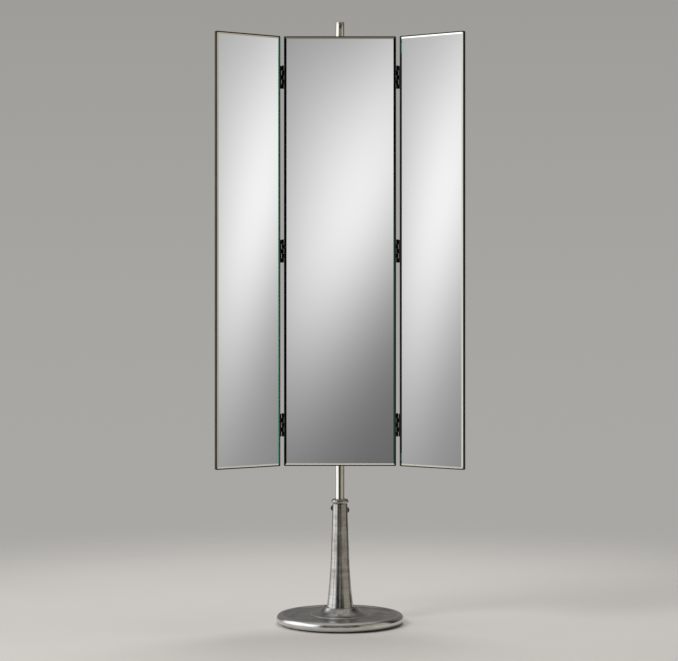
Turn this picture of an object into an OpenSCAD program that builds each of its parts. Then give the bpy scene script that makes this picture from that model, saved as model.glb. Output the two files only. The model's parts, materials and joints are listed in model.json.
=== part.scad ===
// Three-panel dressing mirror on a telescoping pole and a cast pedestal.
// Millimetres, +Z up. The origin is the centre of the base's underside, on the floor.
// The mirrors face -Y, and +X is to the right of someone who stands in front of them.

/* [Base] */
// Overall diameter of the cast base
base_d = 356; // [300:2:430]
// Diameter of the round bead that forms the rim
rim_bead_d = 26; // [24:1:32]
// Thickness of the cast plate above the ballast
plate_t = 8; // [6:0.5:10]
// How much higher the plate lies at the hub's flare than at the rim
plate_rise = 2; // [0:0.5:4]
// Diameter of the raised step where the hub's flare begins
flare_d = 164; // [140:2:200]
// Height of the raised step above the plate
step_h = 1.4; // [0.5:0.1:3]
// Height of the hub's flare above the plate
flare_h = 22; // [14:1:30]
// Width of the hub's lip around the column's seat
hub_lip = 3.5; // [3:0.5:8]
// Depth of the seat that the column stands in
seat_depth = 6; // [4:1:10]
// Open shadow gap between the column's foot and the hub's lip
seat_gap = 4.5; // [1:0.5:6]
// Distance from the rim bead's middle in to the iron ballast disc's edge
ballast_inset = 17; // [14:1:50]
// Thickness of the iron ballast disc
ballast_t = 14; // [8:1:15]
// Distance from the rim bead's middle in to the felt pad's edge
pad_inset = 5; // [3:1:12]
// Thickness of the felt pad
pad_t = 3; // [2:0.5:5]

/* [Column] */
// Height of the cast column from its seat to its top
column_h = 293; // [220:1:380]
// Diameter of the column at its top
column_top_d = 41; // [38:1:50]
// How much the column's radius grows evenly from top to foot
column_taper = 9; // [4:0.5:14]
// How much the column's radius grows in the flare at its foot
column_flare = 8.8; // [2:0.2:12]
// Wall of the guide bush between the pole and the column's bore
bush_wall = 3; // [2.5:0.5:4]
// Length of the guide bush in the column's mouth
bush_l = 50; // [35:1:70]
// Diameter of the collar bead on the column
collar_d = 48; // [44:1:60]
// Height of the collar bead
collar_h = 14; // [10:1:20]
// Thickness of the collar's lip above the bush
collar_lip_t = 4; // [3:0.5:6]

/* [Pole] */
// Outside diameter of the pole
pole_d = 24; // [22:0.5:25]
// Wall thickness of the pole
pole_wall = 2; // [1.2:0.1:3]
// How much of the pole's tube is inside the collar and the column
pole_in = 188; // [150:1:200]
// Height of the pole's round end cap
cap_h = 6; // [4:0.5:12]
// How far the pole's tube stands out above the centre mirror
pole_over = 40; // [15:1:90]
// Height of the guide cup on the pole's foot
foot_h = 30; // [20:1:40]
// Thickness of the guide cup's floor
foot_floor = 6; // [4:0.5:10]

/* [Mirror panels] */
// Height of all three panels
panel_h = 1195; // [1000:5:1400]
// Width of the centre panel
centre_w = 312; // [260:2:380]
// Width of each side panel
wing_w = 211; // [160:1:260]
// Clear height between the column's collar and the panels
panel_lift = 95; // [90:1:200]
// Distance from the pole's centre line to the centre mirror's face
face_out = 40; // [38:0.5:60]
// Thickness of the mirror glass
glass_t = 5; // [4:0.5:6]
// Width of the bevel around the glass
bevel_w = 4.5; // [2:0.5:12]
// Depth of the bevel at the glass's edge
bevel_d = 1; // [0.5:0.1:2]
// Radius of the glass's corners
glass_corner = 5; // [3:0.5:10]
// Width of the steel rim around the glass
rim_w = 2.5; // [1.5:0.5:5]
// Thickness of the tray's steel back
sheet_t = 1.2; // [0.8:0.1:2]
// Thickness of the board between the glass and the back
board_t = 1.8; // [1:0.1:3]
// Radius of the tray's corners
tray_corner = 3; // [2:0.5:4]
// How far the side panels are swung forward from flat
wing_angle = 36; // [0:1:100]

/* [Hinges] */
// Height of each hinge
hinge_h = 64; // [50:1:90]
// Distance from a panel's end to the middle of the hinge nearest to it
hinge_inset = 113.5; // [60:0.5:180]
// Diameter of the hinge's barrel
barrel_d = 6; // [5.5:0.5:7]
// Diameter of the hinge's pin
pin_d = 3; // [2.5:0.1:3.5]
// Thickness of the hinge's leaves
leaf_t = 1.6; // [1.2:0.1:2]
// Width of a leaf from the pin's centre line
leaf_w = 28; // [26:0.5:40]
// Clear gap between the barrel and the centre panel's edge
barrel_gap = 0.5; // [0.3:0.1:1.5]
// Distance from the pin's centre line to the side panel's edge
wing_set = 12.5; // [12:0.5:16]
// Diameter of the rivets' shanks
rivet_d = 3.5; // [3:0.1:4]

/* [Brackets] */
// Distance from the centre panel's end to the middle of the bracket nearest to it
bracket_inset = 207.5; // [170:0.5:300]
// Height of a bracket along the pole
bracket_h = 34; // [28:1:50]
// Width of a clamp's shoulder on each side of the pole
clamp_shoulder = 17; // [16:1:23]
// Width of a bracket foot's flange on each side of the clamp
bracket_flange = 21; // [18:1:30]
// Thickness of a bracket's foot
bracket_foot_t = 5; // [4:0.5:5]
// Distance from the centre panel's side to the end of a rail
rail_inset = 31; // [30:1:60]
// Height of the rails
rail_h = 44; // [36:1:70]
// Thickness of the rails
rail_t = 5; // [3:0.5:6]
// Height of the lock collar that carries the lower bracket
lock_h = 14; // [10:1:24]
// Wall of the lock collar
lock_wall = 8; // [6:0.5:9]

/* [Wing screw] */
// Distance from the collar's underside down to the wing screw
screw_drop = 19.5; // [11:0.5:25]
// Diameter of the screw's shank
screw_d = 8; // [6:0.5:8]
// Distance from the pole's centre line to the boss's face
boss_out = 33; // [31:0.5:40]
// Diameter of the boss for the wing screw
boss_d = 19; // [16:0.5:21]
// Span of the wings, tip to tip
wings_span = 53; // [44:1:64]
// Thickness of the wings
wings_t = 6; // [4:0.5:8]
// How far the wings are turned from level
wings_turn = 9; // [-90:1:90]

/* [Fits] */
// Radial clearance of the pole, hinge pins and wing screw in their bores
running_fit = 0.06; // [0.02:0.01:0.1]
// Clearance between parts that pass each other
pass_gap = 0.3; // [0.2:0.05:0.5]

/* [Hidden] */
$fn = 64;
eps = 0.01;
profile_steps = 20;

cast_metal = "#a9a9a4";
bright_nickel = "#c9c7bf";
black_iron = "#2a2826";
mirror_grey = "#c4c8c9";
brass_colour = "#b08d4c";
steel_colour = "#8d8f90";

// Base heights and radii
bead_r = rim_bead_d / 2;
bead_ring_r = base_d / 2 - bead_r;
ballast_d = 2 * (bead_ring_r - ballast_inset);
pad_d = 2 * (bead_ring_r - pad_inset);
plate_rim_z = pad_t + ballast_t + plate_t;
plate_flare_z = plate_rim_z + plate_rise;
hub_z = plate_flare_z + flare_h;
seat_z = hub_z - seat_depth;
column_foot_r = column_top_d / 2 + column_taper + column_flare;
seat_r = column_foot_r + seat_gap;
hub_r = seat_r + hub_lip;
flare_r = flare_d / 2;
step_r = 2.5;
ballast_gap = 0.5;
ballast_screw_inset = 38;
ballast_screw_ring_r = ballast_d / 2 - ballast_screw_inset;
ballast_screw_d = 6;
ballast_head_d = 12;
ballast_head_h = 3.4;
ballast_screw_cover = 2.5;
ballast_screw_l = ballast_t + plate_t - ballast_screw_cover;
column_screw_set = 11;
column_screw_d = 8;
column_head_d = 13;
column_head_h = 8;
column_screw_bite = 18;
screw_count = 3;

// Column, collar and bush
pole_r = pole_d / 2;
column_top_z = seat_z + column_h;
bore_r = pole_r + bush_wall;
column_screw_ring_r = bore_r + column_screw_set;
bush_top_z = column_top_z + collar_h - collar_lip_t;
collar_top_z = column_top_z + collar_h;

// Pole
panel_z = collar_top_z + panel_lift;
tube_top_z = panel_z + panel_h + pole_over;
tube_foot_z = collar_top_z - pole_in;
pole_l = tube_top_z - tube_foot_z;
foot_bottom_z = tube_foot_z - foot_floor;
foot_pin_d = 4;
foot_pin_sunk = 1;
foot_pin_z = foot_bottom_z + foot_floor + (foot_h - foot_floor) / 2;
cap_spigot_l = 15;
cap_round = 4;

// Panels: the front face lies at local y = 0 and the back at y = tray_t
tray_t = glass_t + board_t + sheet_t;
glass_fit = 0.4;
panel_mid_z = panel_z + panel_h / 2;

// Hinges: pin centre line, measured from the pole's centre line
barrel_r = barrel_d / 2;
pin_r = pin_d / 2;
leaf_root = barrel_r - leaf_t;
pin_x = centre_w / 2 + barrel_gap + barrel_r;
pin_y = tray_t - face_out - leaf_root;
pin_to_face = tray_t - leaf_root;
knuckle_count = 5;
knuckle_pitch = hinge_h / knuckle_count;
knuckle_play = 0.3;
pin_head_d = 5;
pin_head_h = 1.2;
outer_knuckles = [0, 2, 4];
inner_knuckles = [1, 3];
hinge_pitch = panel_h / 2 - hinge_inset;
rivet_edge = 7;
rivet_u = leaf_w - rivet_edge;
rivet_end = 10;
rivet_row = hinge_h / 2 - rivet_end;
rivet_head_d = 6.6;
rivet_head_h = 1.8;

// Brackets and rails
rail_y = tray_t - face_out;
bracket_y = rail_y + rail_t;
block_y = bracket_y + bracket_foot_t;
rail_l = centre_w - 2 * rail_inset;
split_gap = 1;
clamp_wall = 8;
cap_r = pole_r + clamp_wall;
cap_ear_t = 8;
clamp_w = pole_d + 2 * clamp_shoulder;
clamp_screw_edge = 5;
clamp_screw_x = clamp_w / 2 - clamp_screw_edge;
clamp_screw_d = 6;
clamp_screw_bite = 14;
clamp_head_d = 9;
clamp_head_h = 4;
bracket_foot_w = clamp_w + 2 * bracket_flange;
bracket_screw_edge = 10;
bracket_screw_x = bracket_foot_w / 2 - bracket_screw_edge;
bracket_screw_end = 8;
bracket_screw_z = bracket_h / 2 - bracket_screw_end;
bracket_screw_d = 5;
bracket_head_d = 8.5;
bracket_head_h = 3;
lower_bracket_z = panel_z + bracket_inset;
upper_bracket_z = panel_z + panel_h - bracket_inset;
lock_top_z = lower_bracket_z - bracket_h / 2 - pass_gap;
lock_z = lock_top_z - lock_h;
lock_d = pole_d + 2 * lock_wall;
lock_screw_d = 6;
lock_screw_sunk = 0.5;

// Wing screw: the pad presses on the pole from behind
screw_z = column_top_z - screw_drop;
pad_face_y = pole_r + pass_gap;
pad_l = 3.4;
shank_y = pad_face_y + pad_l + running_fit;
boss_to_hub = 5;
hub_y = boss_out + boss_to_hub;
wing_hub_d = 15;
wing_hub_l = 12;
ear_r = 8.5;
ear_y = hub_y + 3;
ear_root = 1;
arm_root = 4;
arm_tip = 6;

function column_r(down) =
  column_top_d / 2 + column_taper * down + column_flare * pow(down, 4);

// Slab with round corners, centred on x, standing on z = 0, from y = 0 to y = t
module slab(w, h, t, r) {
  translate([-w / 2 + r, 0, 0])
    cube([w - 2 * r, t, h]);
  translate([-w / 2, 0, r])
    cube([w, t, h - 2 * r]);
  for (x = [-1, 1], z = [r, h - r])
    translate([x * (w / 2 - r), 0, z])
      rotate([-90, 0, 0])
        cylinder(h = t, r = r);
}

// Round bar along +Y that starts at y = from
module bar_y(d, from, to) {
  translate([0, from, 0])
    rotate([-90, 0, 0])
      cylinder(h = to - from, d = d);
}

module ring_of(count, r) {
  for (i = [0 : count - 1])
    rotate([0, 0, 90 + 360 * i / count])
      translate([r, 0, 0])
        children();
}

// ---------------------------------------------------------------- pedestal

// Outline of the plate and the hub's hollow flare, from the centre outwards
function plate_outline() = concat(
  [[0, pad_t], [bead_ring_r, pad_t], [bead_ring_r, plate_rim_z]],
  [for (i = [profile_steps : -1 : 0])
    let (t = i / profile_steps)
    [hub_r + (flare_r - hub_r) * t, plate_flare_z + flare_h * pow(1 - t, 2)]],
  [[0, hub_z]]
);

module base_plate() {
  color(cast_metal)
    difference() {
      union() {
        rotate_extrude()
          polygon(plate_outline());
        translate([0, 0, pad_t + bead_r])
          rotate_extrude()
            translate([bead_ring_r, 0])
              circle(r = bead_r);
        translate([0, 0, plate_flare_z + step_h - step_r])
          rotate_extrude()
            translate([flare_r, 0])
              circle(r = step_r);
      }
      translate([0, 0, pad_t - eps])
        cylinder(h = ballast_t + eps, d = ballast_d + 2 * ballast_gap);
      translate([0, 0, seat_z])
        cylinder(h = seat_depth + 1, r = seat_r);
      ring_of(screw_count, column_screw_ring_r)
        column_screw();
      ring_of(screw_count, ballast_screw_ring_r)
        translate([0, 0, pad_t])
          cylinder(h = ballast_screw_l, d = ballast_screw_d);
    }
}

module ballast_disc() {
  color(black_iron)
    difference() {
      translate([0, 0, pad_t])
        cylinder(h = ballast_t, d = ballast_d);
      ring_of(screw_count, ballast_screw_ring_r)
        ballast_screw();
    }
}

module ballast_screw() {
  translate([0, 0, pad_t])
    cylinder(h = ballast_head_h, d1 = ballast_head_d, d2 = ballast_screw_d);
  translate([0, 0, pad_t])
    cylinder(h = ballast_screw_l, d = ballast_screw_d);
}

module ballast_screws() {
  color(steel_colour)
    ring_of(screw_count, ballast_screw_ring_r)
      ballast_screw();
}

module floor_pad() {
  color("#3b3a38")
    cylinder(h = pad_t, d = pad_d);
}

module column_screw() {
  head_z = pad_t + ballast_t;
  translate([0, 0, head_z])
    cylinder(h = column_head_h, d = column_head_d);
  translate([0, 0, head_z])
    cylinder(h = seat_z + column_screw_bite - head_z, d = column_screw_d);
}

module column_screws() {
  color(steel_colour)
    ring_of(screw_count, column_screw_ring_r)
      column_screw();
}

module column() {
  color(cast_metal)
    difference() {
      union() {
        rotate_extrude()
          polygon(concat(
            [[0, seat_z]],
            [for (i = [profile_steps : -1 : 0])
              let (down = i / profile_steps)
              [column_r(down), column_top_z - column_h * down]],
            [[0, column_top_z]]
          ));
        translate([0, 0, screw_z])
          bar_y(boss_d, 0, boss_out);
      }
      translate([0, 0, seat_z - 1])
        cylinder(h = column_h + 2, r = bore_r);
      translate([0, 0, screw_z])
        bar_y(screw_d + 2 * running_fit, 0, boss_out + 1);
      ring_of(screw_count, column_screw_ring_r)
        column_screw();
    }
}

module guide_bush() {
  color(brass_colour)
    difference() {
      translate([0, 0, bush_top_z - bush_l])
        cylinder(h = bush_l, r = bore_r);
      translate([0, 0, bush_top_z - bush_l - 1])
        cylinder(h = bush_l + 2, r = pole_r + running_fit);
      translate([0, 0, screw_z])
        bar_y(screw_d + 2 * running_fit, 0, bore_r + 1);
    }
}

module column_collar() {
  round_r = collar_h / 2;
  color(cast_metal)
    difference() {
      translate([0, 0, column_top_z])
        union() {
          cylinder(h = collar_h, r = collar_d / 2 - round_r);
          translate([0, 0, round_r])
            rotate_extrude()
              translate([collar_d / 2 - round_r, 0])
                circle(r = round_r);
        }
      translate([0, 0, column_top_z - 1])
        cylinder(h = collar_h - collar_lip_t + 1, r = bore_r);
      translate([0, 0, column_top_z])
        cylinder(h = collar_h + 1, r = pole_r + pass_gap);
    }
}

// ---------------------------------------------------------------- wing screw

module pressure_pad() {
  color(brass_colour)
    translate([0, 0, screw_z])
      bar_y(screw_d, pad_face_y, pad_face_y + pad_l);
}

module wing_ear(side) {
  reach = wings_span / 2 - ear_r;
  translate([side * reach, 0, 0])
    bar_y(2 * ear_r, ear_y, ear_y + wings_t);
  translate([0, ear_y + wings_t, 0])
    rotate([90, 0, 0])
      linear_extrude(height = wings_t)
        polygon([
          [0, -arm_root],
          [side * reach, -arm_tip],
          [side * reach, arm_tip],
          [0, arm_root]
        ]);
}

module wing_screw() {
  color(black_iron)
    translate([0, 0, screw_z])
      rotate([0, wings_turn, 0]) {
        bar_y(screw_d, shank_y, hub_y + ear_root);
        bar_y(wing_hub_d, hub_y, hub_y + wing_hub_l);
        wing_ear(-1);
        wing_ear(1);
      }
}

// ---------------------------------------------------------------- pole

module pole_tube() {
  color(bright_nickel)
    difference() {
      translate([0, 0, tube_foot_z])
        cylinder(h = pole_l, r = pole_r);
      translate([0, 0, tube_foot_z - 1])
        cylinder(h = pole_l + 2, r = pole_r - pole_wall);
      translate([0, 0, foot_pin_z])
        bar_y(foot_pin_d, -pole_r - 1, pole_r + 1);
    }
}

module pole_cap() {
  round_ring_r = pole_r - cap_round;
  color(bright_nickel)
    translate([0, 0, tube_top_z]) {
      cylinder(h = cap_h - cap_round, r = pole_r);
      cylinder(h = cap_h, r = round_ring_r);
      translate([0, 0, cap_h - cap_round])
        intersection() {
          rotate_extrude()
            translate([round_ring_r, 0])
              circle(r = cap_round);
          cylinder(h = cap_round, r = pole_r);
        }
      translate([0, 0, -cap_spigot_l])
        cylinder(h = cap_spigot_l, r = pole_r - pole_wall);
    }
}

module pole_foot() {
  color(brass_colour)
    difference() {
      translate([0, 0, foot_bottom_z])
        cylinder(h = foot_h, r = bore_r - running_fit);
      translate([0, 0, tube_foot_z])
        cylinder(h = foot_h, r = pole_r);
      translate([0, 0, foot_pin_z])
        bar_y(foot_pin_d, -bore_r, bore_r);
    }
}

module pole_foot_pin() {
  reach = bore_r - foot_pin_sunk;
  color(steel_colour)
    translate([0, 0, foot_pin_z])
      bar_y(foot_pin_d, -reach, reach);
}

module lock_collar() {
  color(black_iron)
    difference() {
      translate([0, 0, lock_z])
        cylinder(h = lock_h, d = lock_d);
      translate([0, 0, lock_z - 1])
        cylinder(h = lock_h + 2, r = pole_r);
      translate([0, 0, lock_z + lock_h / 2])
        bar_y(lock_screw_d, 0, lock_d / 2 + 1);
    }
}

module lock_screw() {
  color(steel_colour)
    translate([0, 0, lock_z + lock_h / 2])
      intersection() {
        bar_y(lock_screw_d, pole_r, lock_d / 2 - lock_screw_sunk);
        difference() {
          bar_y(lock_screw_d, 0, lock_d);
          translate([0, 0, -lock_h])
            cylinder(h = 2 * lock_h, r = pole_r);
        }
      }
}

// ---------------------------------------------------------------- panels

// One bevel along +X: the wedge that is cut from the glass's front edge at z = 0
module bevel_wedge(l) {
  translate([-l / 2, 0, 0])
    rotate([90, 0, 90])
      linear_extrude(height = l)
        polygon([[-1, -1], [bevel_d, -1], [bevel_d, 0], [0, bevel_w], [-1, bevel_w]]);
}

module glass(w) {
  gw = w - 2 * (rim_w + glass_fit);
  gh = panel_h - 2 * (rim_w + glass_fit);
  color(mirror_grey)
    translate([0, 0, rim_w + glass_fit])
      difference() {
        slab(gw, gh, glass_t, glass_corner);
        bevel_wedge(gw + 2);
        translate([0, 0, gh])
          mirror([0, 0, 1])
            bevel_wedge(gw + 2);
        for (side = [-1, 1])
          translate([side * gw / 2, 0, gh / 2])
            rotate([0, -side * 90, 0])
              bevel_wedge(gh + 2);
      }
}

module board(w) {
  color("#6b5a44")
    translate([0, glass_t, rim_w + glass_fit])
      slab(w - 2 * (rim_w + glass_fit), panel_h - 2 * (rim_w + glass_fit), board_t, glass_corner);
}

module tray(w) {
  color(black_iron)
    difference() {
      slab(w, panel_h, tray_t, tray_corner);
      translate([-w / 2 + rim_w, -1, rim_w])
        cube([w - 2 * rim_w, glass_t + board_t + 1, panel_h - 2 * rim_w]);
    }
}

// Heights of the three hinges above the floor
function hinge_z(level) = panel_mid_z + level * hinge_pitch;

module at_centre_panel() {
  translate([0, -face_out, panel_z])
    children();
}

// The hinge's own frame: x out across the side panel, y back, z up, at rest
module at_wing(side) {
  mirror([side < 0 ? 1 : 0, 0, 0])
    translate([pin_x, pin_y, 0])
      rotate([0, 0, -wing_angle])
        children();
}

// The same frame for what stays with the centre panel: x in towards the pole
module at_centre_edge(side) {
  mirror([side < 0 ? 1 : 0, 0, 0])
    translate([pin_x, pin_y, 0])
      mirror([1, 0, 0])
        children();
}

module at_wing_panel(side) {
  at_wing(side)
    translate([wing_set + wing_w / 2, -pin_to_face, panel_z])
      children();
}

// ---------------------------------------------------------------- hinges

module knuckle(k, play) {
  translate([0, 0, -hinge_h / 2 + k * knuckle_pitch + play / 2])
    cylinder(h = knuckle_pitch - play, r = barrel_r);
}

module leaf(own, other, bore) {
  color(black_iron)
    difference() {
      union() {
        translate([0, leaf_root, -hinge_h / 2 + knuckle_play / 2])
          cube([leaf_w, leaf_t, hinge_h - knuckle_play]);
        for (k = own)
          knuckle(k, knuckle_play);
      }
      for (k = other)
        translate([-1, 0, -hinge_h / 2 + k * knuckle_pitch - knuckle_play / 2])
          cube([1 + barrel_r + barrel_gap, barrel_d, knuckle_pitch + knuckle_play]);
      translate([0, 0, -hinge_h / 2 - 1])
        cylinder(h = hinge_h + 2, r = bore);
      leaf_rivet_holes();
    }
}

module leaf_rivet_holes() {
  for (z = [-rivet_row, 0, rivet_row])
    translate([rivet_u, 0, z])
      bar_y(rivet_d, leaf_root - 1, leaf_root + leaf_t + 1);
}

// Three rivets through a leaf and the tray's back sheet
module leaf_rivets() {
  for (z = [-rivet_row, 0, rivet_row])
    translate([rivet_u, 0, z]) {
      bar_y(rivet_d, leaf_root - sheet_t, leaf_root + leaf_t);
      bar_y(rivet_head_d, leaf_root + leaf_t, leaf_root + leaf_t + rivet_head_h);
    }
}

// The bottom hinge is fitted the other way up: its centre leaf has the outer knuckles
module centre_leaf(side, level) {
  own = level < 0 ? outer_knuckles : inner_knuckles;
  other = level < 0 ? inner_knuckles : outer_knuckles;
  translate([0, 0, hinge_z(level)])
    at_centre_edge(side)
      leaf(own, other, pin_r);
}

module wing_leaf(side, level) {
  own = level < 0 ? inner_knuckles : outer_knuckles;
  other = level < 0 ? outer_knuckles : inner_knuckles;
  translate([0, 0, hinge_z(level)])
    at_wing(side)
      leaf(own, other, pin_r + running_fit);
}

module hinge_pin(side, level) {
  color(black_iron)
    translate([0, 0, hinge_z(level)])
      at_centre_edge(side) {
        translate([0, 0, -hinge_h / 2])
          cylinder(h = hinge_h + knuckle_play / 2, r = pin_r);
        translate([0, 0, hinge_h / 2 + knuckle_play / 2])
          cylinder(h = pin_head_h, d = pin_head_d);
      }
}

module centre_rivets() {
  color(black_iron)
    for (side = [-1, 1], level = [-1, 0, 1])
      translate([0, 0, hinge_z(level)])
        at_centre_edge(side)
          leaf_rivets();
}

module wing_rivets(side) {
  color(black_iron)
    for (level = [-1, 0, 1])
      translate([0, 0, hinge_z(level)])
        at_wing(side)
          leaf_rivets();
}

// ---------------------------------------------------------------- panel parts

module centre_glass() {
  at_centre_panel()
    glass(centre_w);
}

module centre_board() {
  at_centre_panel()
    board(centre_w);
}

module centre_tray() {
  color(black_iron)
    difference() {
      at_centre_panel()
        tray(centre_w);
      centre_rivets();
    }
}

module wing_glass(side) {
  at_wing_panel(side)
    glass(wing_w);
}

module wing_board(side) {
  at_wing_panel(side)
    board(wing_w);
}

module wing_tray(side) {
  color(black_iron)
    difference() {
      at_wing_panel(side)
        tray(wing_w);
      wing_rivets(side);
    }
}

// ---------------------------------------------------------------- brackets

module rail(z) {
  color(black_iron)
    difference() {
      translate([-rail_l / 2, rail_y, z - rail_h / 2])
        cube([rail_l, rail_t, rail_h]);
      bracket_screws_at(z);
    }
}

module pole_bore(z) {
  translate([0, 0, z - bracket_h])
    cylinder(h = 2 * bracket_h, r = pole_r + running_fit);
}

module bracket(z) {
  color(black_iron)
    difference() {
      union() {
        translate([-bracket_foot_w / 2, bracket_y, z - bracket_h / 2])
          cube([bracket_foot_w, bracket_foot_t, bracket_h]);
        translate([-clamp_w / 2, block_y, z - bracket_h / 2])
          cube([clamp_w, -block_y - split_gap / 2, bracket_h]);
      }
      pole_bore(z);
      bracket_screws_at(z);
      clamp_screws_at(z);
    }
}

module clamp_cap(z) {
  color(black_iron)
    difference() {
      union() {
        translate([-clamp_w / 2, split_gap / 2, z - bracket_h / 2])
          cube([clamp_w, cap_ear_t, bracket_h]);
        intersection() {
          translate([0, 0, z - bracket_h / 2])
            cylinder(h = bracket_h, r = cap_r);
          translate([-cap_r, split_gap / 2, z - bracket_h])
            cube([2 * cap_r, cap_r, 2 * bracket_h]);
        }
      }
      pole_bore(z);
      clamp_screws_at(z);
    }
}

module bracket_screws_at(z) {
  for (x = [-1, 1], dz = [-1, 1])
    translate([x * bracket_screw_x, 0, z + dz * bracket_screw_z]) {
      bar_y(bracket_screw_d, rail_y, block_y);
      bar_y(bracket_head_d, block_y, block_y + bracket_head_h);
    }
}

module clamp_screws_at(z) {
  head_y = split_gap / 2 + cap_ear_t;
  for (x = [-1, 1])
    translate([x * clamp_screw_x, 0, z]) {
      bar_y(clamp_screw_d, -clamp_screw_bite, head_y);
      bar_y(clamp_head_d, head_y, head_y + clamp_head_h);
    }
}

module bracket_screws() {
  color(steel_colour) {
    bracket_screws_at(lower_bracket_z);
    bracket_screws_at(upper_bracket_z);
  }
}

module clamp_screws() {
  color(steel_colour) {
    clamp_screws_at(lower_bracket_z);
    clamp_screws_at(upper_bracket_z);
  }
}

// ---------------------------------------------------------------- nodes

base_plate();
ballast_disc();
ballast_screws();
floor_pad();
column();
column_screws();
guide_bush();
column_collar();
pressure_pad();
wing_screw();
pole_tube();
pole_cap();
pole_foot();
pole_foot_pin();
lock_collar();
lock_screw();
centre_glass();
centre_board();
centre_tray();
rail(upper_bracket_z);  // upper_rail
rail(lower_bracket_z);  // lower_rail
bracket(upper_bracket_z);  // upper_bracket
clamp_cap(upper_bracket_z);  // upper_clamp_cap
bracket(lower_bracket_z);  // lower_bracket
clamp_cap(lower_bracket_z);  // lower_clamp_cap
bracket_screws();
clamp_screws();
centre_leaf(-1, 1);  // left_top_centre_leaf
centre_leaf(-1, 0);  // left_middle_centre_leaf
centre_leaf(-1, -1);  // left_bottom_centre_leaf
centre_leaf(1, 1);  // right_top_centre_leaf
centre_leaf(1, 0);  // right_middle_centre_leaf
centre_leaf(1, -1);  // right_bottom_centre_leaf
hinge_pin(-1, 1);  // left_top_pin
hinge_pin(-1, 0);  // left_middle_pin
hinge_pin(-1, -1);  // left_bottom_pin
hinge_pin(1, 1);  // right_top_pin
hinge_pin(1, 0);  // right_middle_pin
hinge_pin(1, -1);  // right_bottom_pin
centre_rivets();
wing_glass(-1);  // left_glass
wing_board(-1);  // left_board
wing_tray(-1);  // left_tray
wing_leaf(-1, 1);  // left_top_wing_leaf
wing_leaf(-1, 0);  // left_middle_wing_leaf
wing_leaf(-1, -1);  // left_bottom_wing_leaf
wing_rivets(-1);  // left_rivets
wing_glass(1);  // right_glass
wing_board(1);  // right_board
wing_tray(1);  // right_tray
wing_leaf(1, 1);  // right_top_wing_leaf
wing_leaf(1, 0);  // right_middle_wing_leaf
wing_leaf(1, -1);  // right_bottom_wing_leaf
wing_rivets(1);  // right_rivets
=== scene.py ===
"""Three-panel dressing mirror: its finished pieces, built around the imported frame."""

import json
from math import asin, cos, degrees, pi, radians, sin, sqrt

import bmesh
import bpy
from bpy.props import FloatProperty, FloatVectorProperty, IntProperty, PointerProperty
from mathutils import Matrix, Vector, noise


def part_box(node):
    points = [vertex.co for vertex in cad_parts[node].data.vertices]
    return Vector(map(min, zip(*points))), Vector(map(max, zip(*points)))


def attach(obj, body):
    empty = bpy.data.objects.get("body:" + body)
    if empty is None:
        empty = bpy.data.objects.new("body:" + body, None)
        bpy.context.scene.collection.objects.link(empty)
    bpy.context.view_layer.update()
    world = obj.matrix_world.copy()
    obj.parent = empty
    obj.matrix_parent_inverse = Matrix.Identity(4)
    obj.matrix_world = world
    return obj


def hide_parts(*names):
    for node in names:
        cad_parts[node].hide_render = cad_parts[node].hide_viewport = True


bl_info = {
    "name": "Three-panel dressing mirror",
    "version": (1, 0, 0),
    "blender": (4, 5, 0),
    "location": "View3D > Sidebar > Mirror",
    "description": "Builds the finished pieces of a three-panel dressing mirror around its frame",
    "category": "Object",
}

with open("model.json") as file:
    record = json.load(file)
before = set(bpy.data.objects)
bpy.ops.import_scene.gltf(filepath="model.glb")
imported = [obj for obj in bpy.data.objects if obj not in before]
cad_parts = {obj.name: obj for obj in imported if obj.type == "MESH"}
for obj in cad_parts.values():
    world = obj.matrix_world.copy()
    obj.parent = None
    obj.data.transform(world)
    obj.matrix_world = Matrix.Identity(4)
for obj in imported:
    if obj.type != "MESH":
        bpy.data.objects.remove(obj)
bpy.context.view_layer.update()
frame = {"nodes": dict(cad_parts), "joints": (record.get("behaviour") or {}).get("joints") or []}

SIDES = {"left": -1, "right": 1}
LEVELS = ("top", "middle", "bottom")
BRACKETS = ("upper", "lower")
SAME_POINT = 1e-6
# How many segments a full turn has
BASE_SEGMENTS = 256
COLUMN_SEGMENTS = 160
POLE_SEGMENTS = 96
SCREW_SEGMENTS = 48
RUNNING_FIT = 0.00006
TO_BACK = Matrix.Rotation(-pi / 2, 4, "X")


# ---------------------------------------------------------------- places from the frame

def low(node):
    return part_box(node)[0]


def high(node):
    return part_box(node)[1]


def middle(node):
    return (low(node) + high(node)) / 2


def pivot(joint):
    """Where a hinge joint turns, from the frame."""
    for found in frame["joints"]:
        if found["name"] == joint:
            return Vector(found["pos_m"])
    raise RuntimeError(f"the frame has no joint named {joint}")


def wing_place(side):
    """The hinge's own frame at rest: x out across the side panel, y to its back, z up."""
    pin = pivot(side + "_wing_fold")
    swing = bpy.context.scene.mirror_hinge.swing
    upright = Matrix.Translation((abs(pin.x), pin.y, 0)) @ Matrix.Rotation(-swing, 4, "Z")
    return Matrix.Scale(SIDES[side], 4, (1, 0, 0)) @ upright


def centre_edge_place(side):
    """The same frame for what stays on the centre panel: x runs in from the pin."""
    pin = pivot(side + "_wing_fold")
    return Matrix.Translation((pin.x, pin.y, 0)) @ Matrix.Scale(-SIDES[side], 4, (1, 0, 0))


# ---------------------------------------------------------------- node trees

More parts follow.
